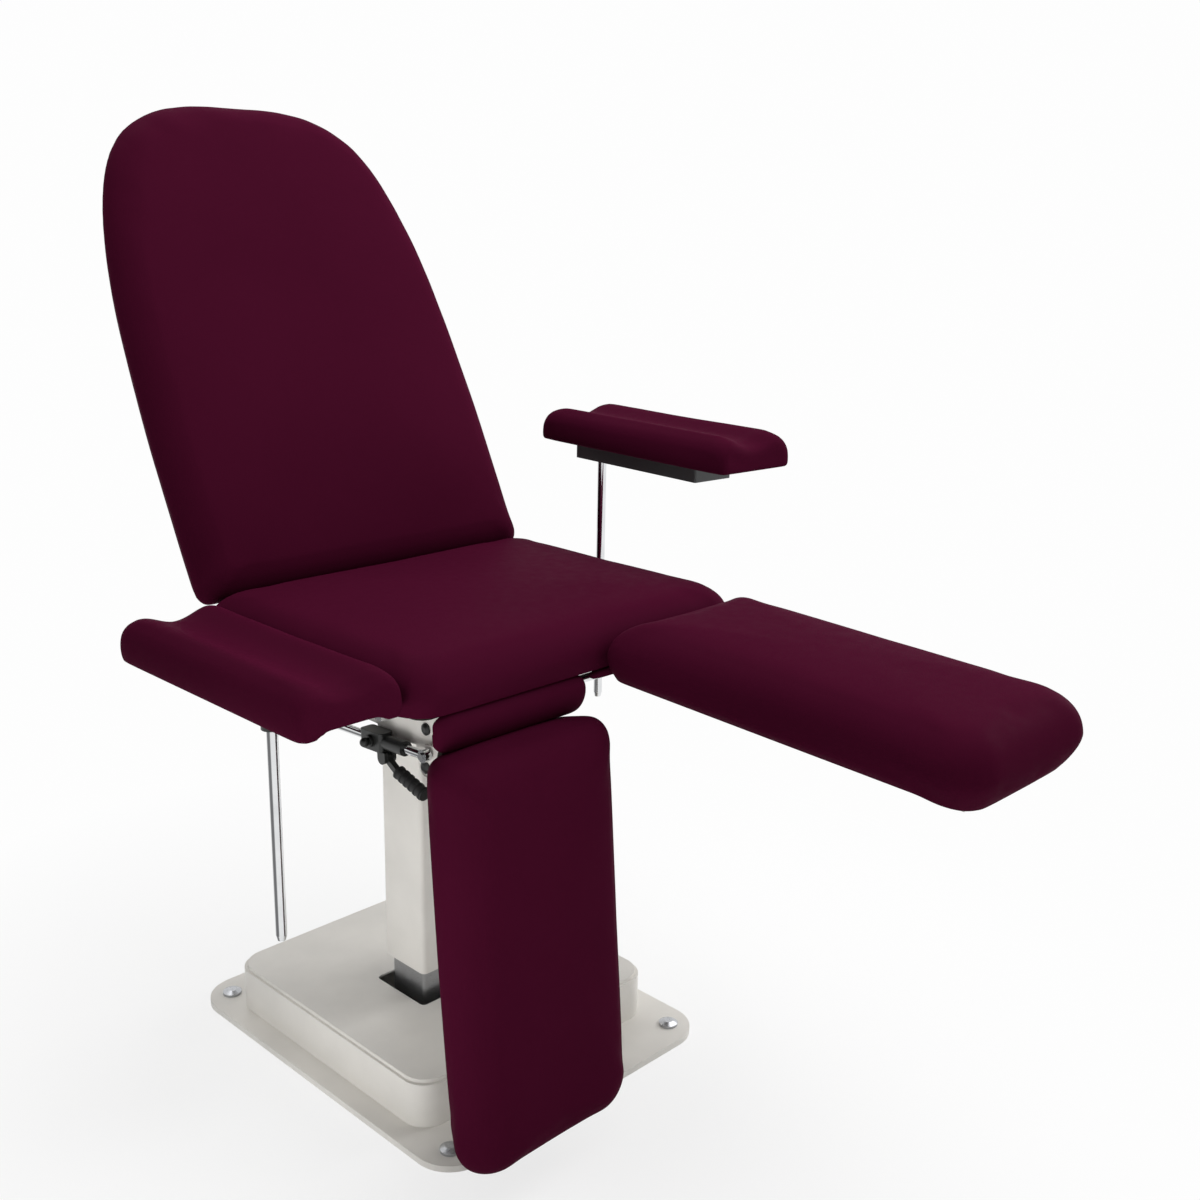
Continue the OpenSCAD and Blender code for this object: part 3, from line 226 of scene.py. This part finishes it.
def metal_material(name, color, rough, brushed=None, edge=0.0006, painted_reflection_side=None):
    """Bare or plated metal: drawing lines where brushed; where polished, a painted reflection of a dark studio
    side, darkening the base colour where the normal faces that side.
    """
    m = Nodes(name)
    m.set(Metallic=1.0)
    if brushed:
        lines = m.noise(scale=300.0, detail=4.0, stretch=brushed)
    else:
        lines = m.noise(scale=35.0, detail=3.0)
    darker = tuple(c * 0.9 for c in color)
    tone = m.mix(m.spread(lines, 0.0, 1.0), darker, color)
    if painted_reflection_side:
        # Painted reflection: the base colour is darkened where the normal faces the given side, in place of a dark
        # studio side mirrored in the metal
        facing = m.new("ShaderNodeVectorMath", operation="DOT_PRODUCT")
        m.link(m.new("ShaderNodeNewGeometry").outputs["Normal"], facing.inputs[0])
        facing.inputs[1].default_value = painted_reflection_side
        painted_reflection_mix = m.new("ShaderNodeMix", data_type="RGBA")
        share = m.spread(facing.outputs["Value"], low=0.0, high=0.85, start=0.90, end=0.96)
        m.link(share, painted_reflection_mix.inputs["Factor"])
        m.link(tone, painted_reflection_mix.inputs["A"])
        painted_reflection_mix.inputs["B"].default_value = (*CHROME_PAINTED_REFLECTION, 1.0)
        tone = painted_reflection_mix.outputs["Result"]
    m.link(tone, m.shader.inputs["Base Color"])
    m.link(m.spread(lines, rough * 0.8, rough * 1.3), m.shader.inputs["Roughness"])
    m.use_normal(m.bump(lines, distance=0.00003, strength=0.3, normal=m.soft_edges(edge)))
    return m.material


def plastic_material(name, color, rough, grain=780.0):
    """Moulded plastic or rubber: fine grain, soft edges, lighter spots."""
    m = Nodes(name)
    tone = m.noise(scale=14.0, detail=3.0)
    lighter = tuple(c * 1.5 + 0.002 for c in color)
    m.link(m.mix(m.spread(tone, 0.0, 1.0), color, lighter), m.shader.inputs["Base Color"])
    m.link(m.spread(m.noise(scale=80.0), rough - 0.05, rough + 0.06), m.shader.inputs["Roughness"])
    edges = m.soft_edges(0.0008)
    m.use_normal(m.bump(m.noise(grain), distance=0.00008, strength=0.5, normal=edges))
    return m.material


def board_material():
    """Dark stained plywood: long grain on the face and layers along its height."""
    m = Nodes("stained_board")
    grain = m.noise(scale=38.0, detail=5.0, stretch=(6.0, 0.8, 6.0))
    layers = m.new("ShaderNodeTexWave", bands_direction="Z", Scale=110.0, Distortion=1.2)
    m.link(m.place(), layers.inputs["Vector"])
    share = m.spread(grain, low=0.0, high=1.0, start=0.35, end=0.65)
    m.link(m.mix(share, STAINED_GRAIN, STAINED_WOOD), m.shader.inputs["Base Color"])
    m.set(Roughness=0.6, Specular_IOR_Level=0.2)
    normal = m.bump(layers.outputs["Fac"], distance=0.0001, strength=0.3)
    m.use_normal(m.bump(grain, distance=0.0002, strength=0.5, normal=normal))
    return m.material


def make_materials():
    """One material for each material slot of the record."""
    return {
        "vinyl": vinyl_material(),
        "white_steel": paint_material("white_powder_coat", WHITE_PAINT, rough=0.42),
        "black_steel": paint_material("black_satin_paint", BLACK_PAINT, rough=0.38),
        "charcoal": paint_material("charcoal_paint", CHARCOAL_PAINT, rough=0.40,
                                   peel=0.0001, edge=0.0009),
        "chrome": metal_material("chrome_plate", CHROME, rough=0.07, painted_reflection_side=CHROME_PAINTED_REFLECTION_SIDE),
        "zinc": metal_material("zinc_plate", ZINC, rough=0.30, brushed=(1.0, 1.0, 12.0)),
        "black_plastic": plastic_material("black_plastic", RUBBER, rough=0.45),
        "grip_rubber": plastic_material("grip_rubber", RUBBER, rough=0.62, grain=1200.0),
        "board": board_material(),
    }


def paint_frame(materials):
    """Gives every CAD node the finish of its material slot."""
    for part in frame["record"]["subparts"]:
        mesh = frame["nodes"][part["node"]].data
        mesh.materials.clear()
        mesh.materials.append(materials[part["material_slot"]])


# Cushions

# The upper edge's rounding, and the rise of the middle over it
EDGE_ROUND = 0.043
CROWN = 0.008
# Height of the widest line, as a share of the cushion's height
BELLY = 0.42
# What the cloth adds is taken off the shape that it starts from
SIDE_SWELL = 0.0015
TOP_SWELL = 0.0025
# The start shape reaches this far below the board's face, and the cloth is held this far above it
UNDER_BOARD = 0.007
HELD_HEIGHT = 0.007
# How far the sides are drawn in towards the board, and how far a point may swell
DRAWN_IN = {"seat": 0.012, "back": 0.018, "leg": 0.022}
CLOTH_CAP = {"seat": 0.004, "back": 0.005, "leg": 0.004, "arm": 0.003}
# Corner radii of the outlines: front and rear
SEAT_CORNERS = (0.048, 0.040)
LEG_CORNERS = (0.052, 0.024)
BACK_CORNER = 0.022
# Share of the drawing-in at the leg cushion's end by the seat
LEG_REAR_SHARE = 0.2
# The leg cover's dip over the frame's front end: depth and length
LEG_DIP = 0.007
DIP_REACH = 0.09
# How far an arm cushion's rims hang below its CAD solid
ARM_WRAP = {"right": 0.008, "left": 0.0}
# How far each board is let in behind the cover, and its bevel
BOARD_INSET = {"seat": 0.002, "back": 0.014, "leg": 0.016}
BOARD_BEVEL = 0.0012


def local_axes(joint_name, angle_deg):
    """The matrix of a hinged part's own frame: at its joint, turned about X by its rest angle."""
    joint = next(j for j in frame["joints"] if j["name"] == joint_name)
    return Matrix.Translation(joint["pos_m"]) @ Matrix.Rotation(math.radians(angle_deg), 4, "X")


def local_box(node, axes):
    """Lowest and highest corner of a CAD node in the frame of a matrix."""
    into = axes.inverted()
    points = np.array([into @ v.co for v in frame["nodes"][node].data.vertices])
    return Vector(points.min(0)), Vector(points.max(0))


def corner(cx, cy, radius, start_deg, steps):
    """Points of a quarter circle."""
    angles = [math.radians(start_deg + 90.0 * i / steps) for i in range(steps + 1)]
    return [(cx + radius * math.cos(a), cy + radius * math.sin(a)) for a in angles]


def straight(a, b, step):
    """Points between two corners of an outline, without the ends."""
    count = max(1, round(math.dist(a, b) / step))
    return [tuple(a[i] + (b[i] - a[i]) * k / count for i in (0, 1)) for k in range(1, count)]


def fill_outline(points, step):
    """The outline with its long straight runs divided."""
    out = []
    for a, b in zip(points, points[1:] + points[:1]):
        out.append(a)
        out += straight(a, b, step)
    return out


def box_outline(low, high, front_r, rear_r, step=0.008, arc=10):
    """A rectangle with rounded corners, seen from above."""
    points = corner(high.x - front_r, low.y + front_r, front_r, 270, arc)
    points += corner(high.x - rear_r, high.y - rear_r, rear_r, 0, arc)
    points += corner(low.x + rear_r, high.y - rear_r, rear_r, 90, arc)
    points += corner(low.x + front_r, low.y + front_r, front_r, 180, arc)
    return fill_outline(points, step)


def mesh_object(name, verts, faces):
    mesh = bpy.data.meshes.new(name)
    mesh.from_pydata([tuple(v) for v in verts], [], faces)
    mesh.update()
    obj = bpy.data.objects.new(name, mesh)
    scene.collection.objects.link(obj)
    return obj


def loft(name, rings):
    """A closed skin through rings of equal count, capped with fans."""
    count = len(rings[0])
    verts = [p for ring in rings for p in ring]
    faces = []
    for j in range(len(rings) - 1):
        for i in range(count):
            k = (i + 1) % count
            faces.append((j * count + i, j * count + k, (j + 1) * count + k, (j + 1) * count + i))
    for ring_index, flip in ((0, True), (len(rings) - 1, False)):
        centre = len(verts)
        verts.append(tuple(np.mean(rings[ring_index], axis=0)))
        for i in range(count):
            a = ring_index * count + i
            b = ring_index * count + (i + 1) % count
            faces.append((b, a, centre) if flip else (a, b, centre))
    return mesh_object(name, verts, faces)


def inset_ring(outline, inset, share, z, rear=1.0):
    """The outline at height z, moved in by inset (times rear at the +Y end), then scaled by share."""
    points = np.array(outline)
    low, high = points.min(0), points.max(0)
    start = low + inset
    end = high - np.array((inset, inset * rear))
    middle = (start + end) / 2
    placed = start + (points - low) / (high - low) * (end - start)
    return [(*(middle + (p - middle) * share), z) for p in placed]


def cushion_rings(outline, bottom, top, drawn_in, rear=1.0):
    """Rings of a crowned cushion whose sides are drawn in towards its board, less at the rear.

    The lowest ring lies under the board's face. Clipping there leaves a crisp lower edge.
    """
    height = top - bottom - CROWN
    rings = [inset_ring(outline, drawn_in * 1.06, 1, bottom - UNDER_BOARD, rear)]
    for t in np.linspace(0.0, 1.0, 7)[:-1]:
        z = bottom + BELLY * height * t
        rings.append(inset_ring(outline, drawn_in * (1 - t) ** 1.5, 1, z, rear))
    for t in np.linspace(0.0, 1.0, 12):
        angle = t * math.pi / 2
        inset = EDGE_ROUND * (1 - math.cos(angle))
        rise = BELLY + (1 - BELLY) * math.sin(angle)
        rings.append(inset_ring(outline, inset, 1, bottom + height * rise))
    for share in np.linspace(1.0, 0.0, 16)[1:-1]:
        z = bottom + height + CROWN * (1 - share ** 2)
        rings.append(inset_ring(outline, EDGE_ROUND, share, z))
    return rings


def remeshed(obj, voxel):
    """Replaces the mesh by an even one, ready for cloth."""
    modifier = obj.modifiers.new("remesh", "REMESH")
    modifier.mode = "VOXEL"
    modifier.voxel_size = voxel
    apply_modifiers(obj)


def apply_modifiers(obj):
    bpy.context.view_layer.update()
    graph = bpy.context.evaluated_depsgraph_get()
    mesh = bpy.data.meshes.new_from_object(obj.evaluated_get(graph))
    obj.modifiers.clear()
    old = obj.data
    obj.data = mesh
    bpy.data.meshes.remove(old)


def coordinates(mesh):
    flat = np.empty(len(mesh.vertices) * 3)
    mesh.vertices.foreach_get("co", flat)
    return flat.reshape(-1, 3)


def inflate(obj, cap, held_z, pressure=4.0, frames=20):
    """Swells the cushion by cap at most, with cloth under pressure, held below held_z."""
    rest = coordinates(obj.data)
    pinned = [i for i, p in enumerate(rest) if p[2] < held_z]
    group = obj.vertex_groups.new(name="board")
    group.add(pinned, 1.0, "REPLACE")
    cloth = obj.modifiers.new("cloth", "CLOTH")
    cloth.settings.use_pressure = True
    cloth.settings.uniform_pressure_force = pressure
    cloth.settings.effector_weights.gravity = 0.0
    cloth.settings.vertex_group_mass = group.name
    cloth.settings.quality = 5
    cloth.settings.tension_stiffness = 30
    cloth.settings.compression_stiffness = 30
    cloth.settings.bending_stiffness = 2.0
    cloth.point_cache.frame_start = 1
    cloth.point_cache.frame_end = frames
    for number in range(1, frames + 1):
        scene.frame_set(number)
    graph = bpy.context.evaluated_depsgraph_get()
    moved = coordinates(obj.evaluated_get(graph).data)
    obj.modifiers.clear()
    obj.vertex_groups.clear()
    scene.frame_set(1)
    shift = evened(obj.data, moved - rest, times=14)
    length = np.linalg.norm(shift, axis=1, keepdims=True)
    limited = cap * np.tanh(length / cap)
    result = rest + shift * limited / np.maximum(length, 1e-9)
    obj.data.vertices.foreach_set("co", result.ravel())
    obj.data.update()


def evened(mesh, values, times):
    """Averages a value per vertex with its neighbours' values, so that no wrinkle stays."""
    ends = np.empty(len(mesh.edges) * 2, dtype=np.int64)
    mesh.edges.foreach_get("vertices", ends)
    first, second = ends.reshape(-1, 2).T
    count = np.bincount(ends, minlength=len(values)).reshape(-1, 1)
    for _ in range(times):
        total = np.zeros_like(values)
        np.add.at(total, first, values[second])
        np.add.at(total, second, values[first])
        values = 0.5 * values + 0.5 * total / count
    return values


def smooth(obj, times, factor=0.5):
    modifier = obj.modifiers.new("smooth", "SMOOTH")
    modifier.iterations = times
    modifier.factor = factor
    apply_modifiers(obj)


def fit_box(obj, low, high):
    """Clips the cushion flat at its board, then fits it to its CAD solid's box."""
    points = coordinates(obj.data)
    points[:, 2] = np.maximum(points[:, 2], low.z)
    start, end = points.min(0), points.max(0)
    points = np.array(low) + (points - start) / (end - start) * (np.array(high) - np.array(low))
    obj.data.vertices.foreach_set("co", points.ravel())
    obj.data.update()


def dip_front(obj, low, high, depth):
    """Pulls the cover's lower edge down at the front end, over the frame's end."""
    points = coordinates(obj.data)
    t = np.clip((low.y + DIP_REACH - points[:, 1]) / (0.8 * DIP_REACH), 0, 1)
    share = 1 - (points[:, 2] - low.z) / (high.z - low.z)
    points[:, 2] -= depth * t * t * (3 - 2 * t) * share ** 2
    obj.data.vertices.foreach_set("co", points.ravel())
    obj.data.update()


def dress_cushion(obj, node, body, axes, cap, voxel=0.005, soft=2, wrap=0.0, dip=0.0):
    """Remeshes, inflates, smooths and places a cushion, whose cover reaches down by wrap."""
    low, high = local_box(node, axes)
    low.z -= wrap
    remeshed(obj, voxel)
    smooth(obj, soft)
    inflate(obj, cap, low.z + wrap + HELD_HEIGHT)
    smooth(obj, 2)
    fit_box(obj, low, high)
    if dip:
        dip_front(obj, low, high, dip)
    finish_soft(obj, node, body, axes)


def finish_soft(obj, node, body, axes):
    """Subdivides a soft piece once, puts it in its place, ties it to its body and hides its CAD node."""
    subdivision = obj.modifiers.new("subdivision", "SUBSURF")
    subdivision.levels = 1
    subdivision.render_levels = 1
    apply_modifiers(obj)
    obj.data.transform(axes)
    obj.data.materials.clear()
    obj.data.materials.append(materials["vinyl"])
    for polygon in obj.data.polygons:
        polygon.use_smooth = True
    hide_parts(node)
    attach(obj, body)


def start_box(node, axes):
    """A cushion's box before the cloth swells it."""
    low, high = local_box(node, axes)
    swell = Vector((SIDE_SWELL, SIDE_SWELL, 0))
    return low + swell, high - swell - Vector((0, 0, TOP_SWELL))


def make_seat():
    axes = Matrix.Identity(4)
    low, high = start_box("seat_pad", axes)
    outline = box_outline(low, high, *SEAT_CORNERS)
    obj = loft("seat_cushion", cushion_rings(outline, low.z, high.z, DRAWN_IN["seat"]))
    dress_cushion(obj, "seat_pad", "lift", axes, CLOTH_CAP["seat"])


# The backrest's outline: share of its length, share of its half width
BACK_SHARES = [(0.16, 1.0), (0.302, 1.0), (0.403, 0.992), (0.504, 0.98), (0.605, 0.96),
               (0.706, 0.922), (0.796, 0.865), (0.877, 0.78), (0.9375, 0.66), (0.978, 0.49),
               (0.995, 0.32), (1.0, 0.15)]


def make_back():
    axes = local_axes("backrest_tilt", BACK_DEG)
    low, high = start_box("back_pad", axes)
    half = high.x
    length = high.y - low.y
    radius = BACK_CORNER
    side = [(half * p[1], low.y + length * p[0]) for p in smooth_curve(BACK_SHARES, 4)]
    points = corner(half - radius, low.y + radius, radius, 270, 10) + side
    points += [(-x, y) for x, y in reversed(side)]
    points += corner(-half + radius, low.y + radius, radius, 180, 10)
    outline = fill_outline(points, step=0.010)
    obj = loft("back_cushion", cushion_rings(outline, low.z, high.z, DRAWN_IN["back"]))
    dress_cushion(obj, "back_pad", "backrest", axes, CLOTH_CAP["back"], voxel=0.006)


def make_leg(side):
    axes = local_axes(side + "_leg_fold", -LEG_DEG[side])
    node = side + "_leg_pad"
    low, high = start_box(node, axes)
    outline = box_outline(low, high, *LEG_CORNERS)
    rings = cushion_rings(outline, low.z, high.z, DRAWN_IN["leg"], LEG_REAR_SHARE)
    obj = loft(side + "_leg_cushion", rings)
    dress_cushion(obj, node, side + "_leg", axes, CLOTH_CAP["leg"], dip=LEG_DIP)


def make_board(node, body, axes, inset):
    """A cushion's board, let in behind the cover that is pulled round it."""
    low, high = local_box(node, axes)
    middle = (low + high) / 2
    size = high - low
    mesh = frame["nodes"][node].data.copy()
    mesh.transform(axes.inverted())
    mesh.transform(Matrix.Translation(-middle))
    mesh.transform(Matrix.Diagonal((1 - 2 * inset / size.x, 1 - 2 * inset / size.y, 1.0, 1.0)))
    mesh.transform(axes @ Matrix.Translation(middle))
    obj = bpy.data.objects.new(node + "_let_in", mesh)
    scene.collection.objects.link(obj)
    bevel = obj.modifiers.new("bevel", "BEVEL")
    bevel.width = BOARD_BEVEL
    bevel.segments = 2
    apply_modifiers(obj)
    obj.data.materials.clear()
    obj.data.materials.append(materials["board"])
    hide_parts(node)
    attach(obj, body)


def make_boards():
    level = Matrix.Identity(4)
    make_board("seat_board", "lift", level, BOARD_INSET["seat"])
    tilted = local_axes("backrest_tilt", BACK_DEG)
    make_board("back_board", "backrest", tilted, BOARD_INSET["back"])
    for side in SIDES:
        axes = local_axes(side + "_leg_fold", -LEG_DEG[side])
        make_board(side + "_leg_board", side + "_leg", axes, BOARD_INSET["leg"])


def smooth_curve(points, steps):
    """A Catmull-Rom curve through a list of points, ends included."""
    pts = [np.array(p, float) for p in points]
    pts = [2 * pts[0] - pts[1]] + pts + [2 * pts[-1] - pts[-2]]
    out = []
    for i in range(1, len(pts) - 2):
        for k in range(steps):
            t = k / steps
            a, b, c, d = pts[i - 1], pts[i], pts[i + 1], pts[i + 2]
            out.append(0.5 * (2 * b + (c - a) * t + (2 * a - 5 * b + 4 * c - d) * t ** 2
                              + (3 * b - a - 3 * c + d) * t ** 3))
    out.append(pts[-2])
    return out


# Half of the gutter's section: share of its half width, share of its height
GUTTER_SHARES = [(0, 0.765), (0.17, 0.785), (0.34, 0.86), (0.5, 0.95), (0.66, 1), (0.8, 0.965),
                 (0.91, 0.85), (0.985, 0.64), (1, 0.4), (0.99, 0.14), (0.965, 0.0)]
# Its rounded end: share of its length, of its width and of its height
GUTTER_ENDS = [(0.0, 0.90, 0.70), (0.006, 0.93, 0.80), (0.016, 0.962, 0.885),
               (0.034, 0.984, 0.95), (0.06, 0.996, 0.985)]


def make_arm_pad(side):
    """A gutter-shaped pad: two rims with a valley that runs out at both ends."""
    node = side + "_arm_pad"
    turn = Matrix.Rotation(math.radians(ARM_YAW_DEG[side]), 4, "Z")
    low, high = local_box(node, turn)
    middle = (low + high) / 2
    half_w = (high.x - low.x) / 2 - SIDE_SWELL
    length = high.y - low.y - 2 * SIDE_SWELL
    height = high.z - low.z - TOP_SWELL
    drop = -ARM_WRAP[side] / height
    half = smooth_curve(GUTTER_SHARES, 4)
    half += [np.array((x, drop)) for x in (0.95, 0.90, 0.82, 0.74, 0.66)]
    floor = [np.array((x, 0.0)) for x in np.linspace(0.60, -0.60, 12)]
    outline = half + floor + [np.array((-p[0], p[1])) for p in reversed(half)][:-1]
    stations = GUTTER_ENDS + [(t, 1.0, 1.0) for t in np.linspace(0.1, 0.9, 34)]
    stations += [(1 - t, w, h) for t, w, h in reversed(GUTTER_ENDS)]
    rings = []
    for along, wide, tall in stations:
        y = middle.y + length * (along - 0.5)
        ring = [(middle.x + p[0] * half_w * wide, y, low.z + p[1] * height * tall) for p in outline]
        rings.append(ring)
    obj = loft(side + "_arm_cushion", rings)
    dress_cushion(obj, node, side + "_armrest", turn, CLOTH_CAP["arm"], wrap=ARM_WRAP[side])


# Sections of the knee rolls: share of the depth, share of the height
ROLL_SHARES = {
    "right": [(0.62, 0), (0.54, 0.16), (0.33, 0.17), (0.12, 0.2), (0.02, 0.31), (0, 0.44),
              (0.08, 0.73), (0.24, 0.94), (0.42, 1), (0.64, 0.95), (0.88, 0.76), (1.06, 0.50),
              (1.15, 0.24), (1.14, 0)],
    "left": [(0.06, 0), (0, 0.4), (0.06, 0.85), (0.2, 1), (0.8, 1), (0.94, 0.85), (1, 0.4),
             (0.94, 0)],
}
# How far the roll's outer end stands in from its CAD solid's, so that the bolt beside it shows
ROLL_TUCK = {"right": 0.031, "left": 0.0}
# Its rounded end: length, then share of that length and share of the section
ROLL_END = 0.026
ROLL_END_SHARES = [(0.0, 0.5), (0.08, 0.66), (0.22, 0.80), (0.42, 0.91), (0.68, 0.975), (1.0, 1.0)]


def make_knee_roll(side):
    """The soft roll at the seat's front edge: plump on a hanging leg, pinched as that leg is raised."""
    axes = local_axes(side + "_leg_fold", -LEG_DEG[side])
    node = side + "_knee_roll"
    low, high = local_box(node, axes)
    low.x += ROLL_TUCK[side]
    depth = high.y - low.y
    height = high.z - low.z
    section = ROLL_SHARES[side]
    curve = smooth_curve(section, 4)
    curve += [np.array((x, 0.0)) for x in np.linspace(section[-1][0], section[0][0], 6)[1:-1]]
    stations = [(low.x + ROLL_END * t, s) for t, s in ROLL_END_SHARES]
    stations += [(x, 1.0) for x in np.linspace(low.x + ROLL_END, high.x - ROLL_END, 26)[1:-1]]
    stations += [(high.x - ROLL_END * t, s) for t, s in reversed(ROLL_END_SHARES)]
    rings = []
    for x, share in stations:
        ring = []
        for s, w in curve:
            y = high.y - depth * (0.5 + (s - 0.5) * share)
            ring.append((x, y, low.z + height * w * share))
        rings.append(ring)
    obj = loft(side + "_knee_bolster", rings)
    finish_soft(obj, node, side + "_leg", axes)
    if side == "right":
        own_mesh(obj)


# Studio

FLOOR_HALF = 30.0
FLOOR_Z = -0.0005
# The floor's shadow is kept in part up to the first distance, and gone at the second
FLOOR_SHADOW_REACH = 0.45
FLOOR_FADE_END = 1.15
SHADOW_KEPT = 0.24
# Strength of the backdrop as a light. The camera and mirrors see it at full strength
WORLD_FILL = 0.38
LIGHT_TARGET = (0.0, -0.1, 0.75)
# Name, place, size, power in watts
SOFT_BOXES = [
    ("side", (3.0, -1.0, 1.8), (1.2, 1.8), 34),
    ("top", (0.8, -1.0, 3.6), (2.2, 2.2), 44),
    ("top_rear", (0.3, 1.4, 3.5), (2.2, 1.8), 34),
]
# Name, place, target, power in watts, spread in degrees
FILLS = [
    ("column_fill", (-0.8, -0.3, 0.2), (-0.1, 0.0, 0.3), 0.52, 84.0),
    ("plate_fill", (-0.9, -0.6, 0.35), (-0.24, -0.24, 0.63), 0.16, 40.0),
]
FILL_SIZE = (0.4, 0.4)


def make_floor():
    """A pale floor that keeps a soft shadow by the base and fades into the backdrop."""
    square = [(x * FLOOR_HALF, y * FLOOR_HALF, 0) for x, y in ((-1, -1), (1, -1), (1, 1), (-1, 1))]
    floor = mesh_object("floor", square, [(0, 1, 2, 3)])
    floor.location.z = FLOOR_Z
    m = Nodes("pale_floor")
    m.set(Base_Color=BACKDROP, Roughness=0.9, Specular_IOR_Level=0.1)
    glow = m.new("ShaderNodeEmission", Color=(*BACKDROP, 1.0), Strength=1.0)
    seen = m.new("ShaderNodeLightPath")
    share = m.new("ShaderNodeMath", operation="MAXIMUM")
    m.link(seen.outputs["Is Camera Ray"], share.inputs[0])
    m.link(seen.outputs["Is Glossy Ray"], share.inputs[1])
    distance = m.new("ShaderNodeVectorMath", operation="LENGTH")
    m.link(m.place(), distance.inputs[0])
    fade = m.spread(distance.outputs["Value"], 1 - SHADOW_KEPT, 1.0, FLOOR_SHADOW_REACH, FLOOR_FADE_END)
    part = m.new("ShaderNodeMath", operation="MULTIPLY")
    m.link(share.outputs[0], part.inputs[0])
    m.link(fade, part.inputs[1])
    blend = m.new("ShaderNodeMixShader")
    m.link(part.outputs[0], blend.inputs["Fac"])
    m.link(m.shader.outputs["BSDF"], blend.inputs[1])
    m.link(glow.outputs["Emission"], blend.inputs[2])
    m.link(blend.outputs["Shader"], m.tree.nodes["Material Output"].inputs["Surface"])
    floor.data.materials.append(m.material)


def make_world():
    """The backdrop, which lights the part less than it shows."""
    world = bpy.data.worlds.new("studio")
    scene.world = world
    world.use_nodes = True
    nodes = world.node_tree.nodes
    links = world.node_tree.links
    background = nodes["Background"]
    background.inputs["Color"].default_value = (*BACKDROP, 1.0)
    seen = nodes.new("ShaderNodeLightPath")
    clear = nodes.new("ShaderNodeMath")
    clear.operation = "MAXIMUM"
    links.new(seen.outputs["Is Camera Ray"], clear.inputs[0])
    links.new(seen.outputs["Is Glossy Ray"], clear.inputs[1])
    strength = nodes.new("ShaderNodeMapRange")
    links.new(clear.outputs[0], strength.inputs["Value"])
    strength.inputs["To Min"].default_value = WORLD_FILL
    strength.inputs["To Max"].default_value = 1.0
    links.new(strength.outputs["Result"], background.inputs["Strength"])


def area_light(name, place, target, size, power, spread_deg=180.0):
    data = bpy.data.lights.new(name, "AREA")
    data.shape = "RECTANGLE"
    data.size, data.size_y = size
    data.energy = power
    data.spread = math.radians(spread_deg)
    light = bpy.data.objects.new(name, data)
    light.location = place
    light.rotation_euler = (Vector(target) - Vector(place)).to_track_quat("-Z", "Y").to_euler()
    scene.collection.objects.link(light)
    return light


def make_lights():
    """Three large lights, and two small unseen ones for the white parts by the column."""
    for name, place, size, power in SOFT_BOXES:
        area_light(name, place, LIGHT_TARGET, size, power)
    for name, place, target, power, spread in FILLS:
        fill = area_light(name, place, target, FILL_SIZE, power, spread)
        fill.visible_camera = False
        fill.visible_glossy = False


set_up_scene()
make_camera()
materials = make_materials()
paint_frame(materials)
make_seat()
make_back()
make_boards()
for seat_side in SIDES:
    make_leg(seat_side)
    make_knee_roll(seat_side)
    make_arm_pad(seat_side)
make_floor()
make_world()
make_lights()
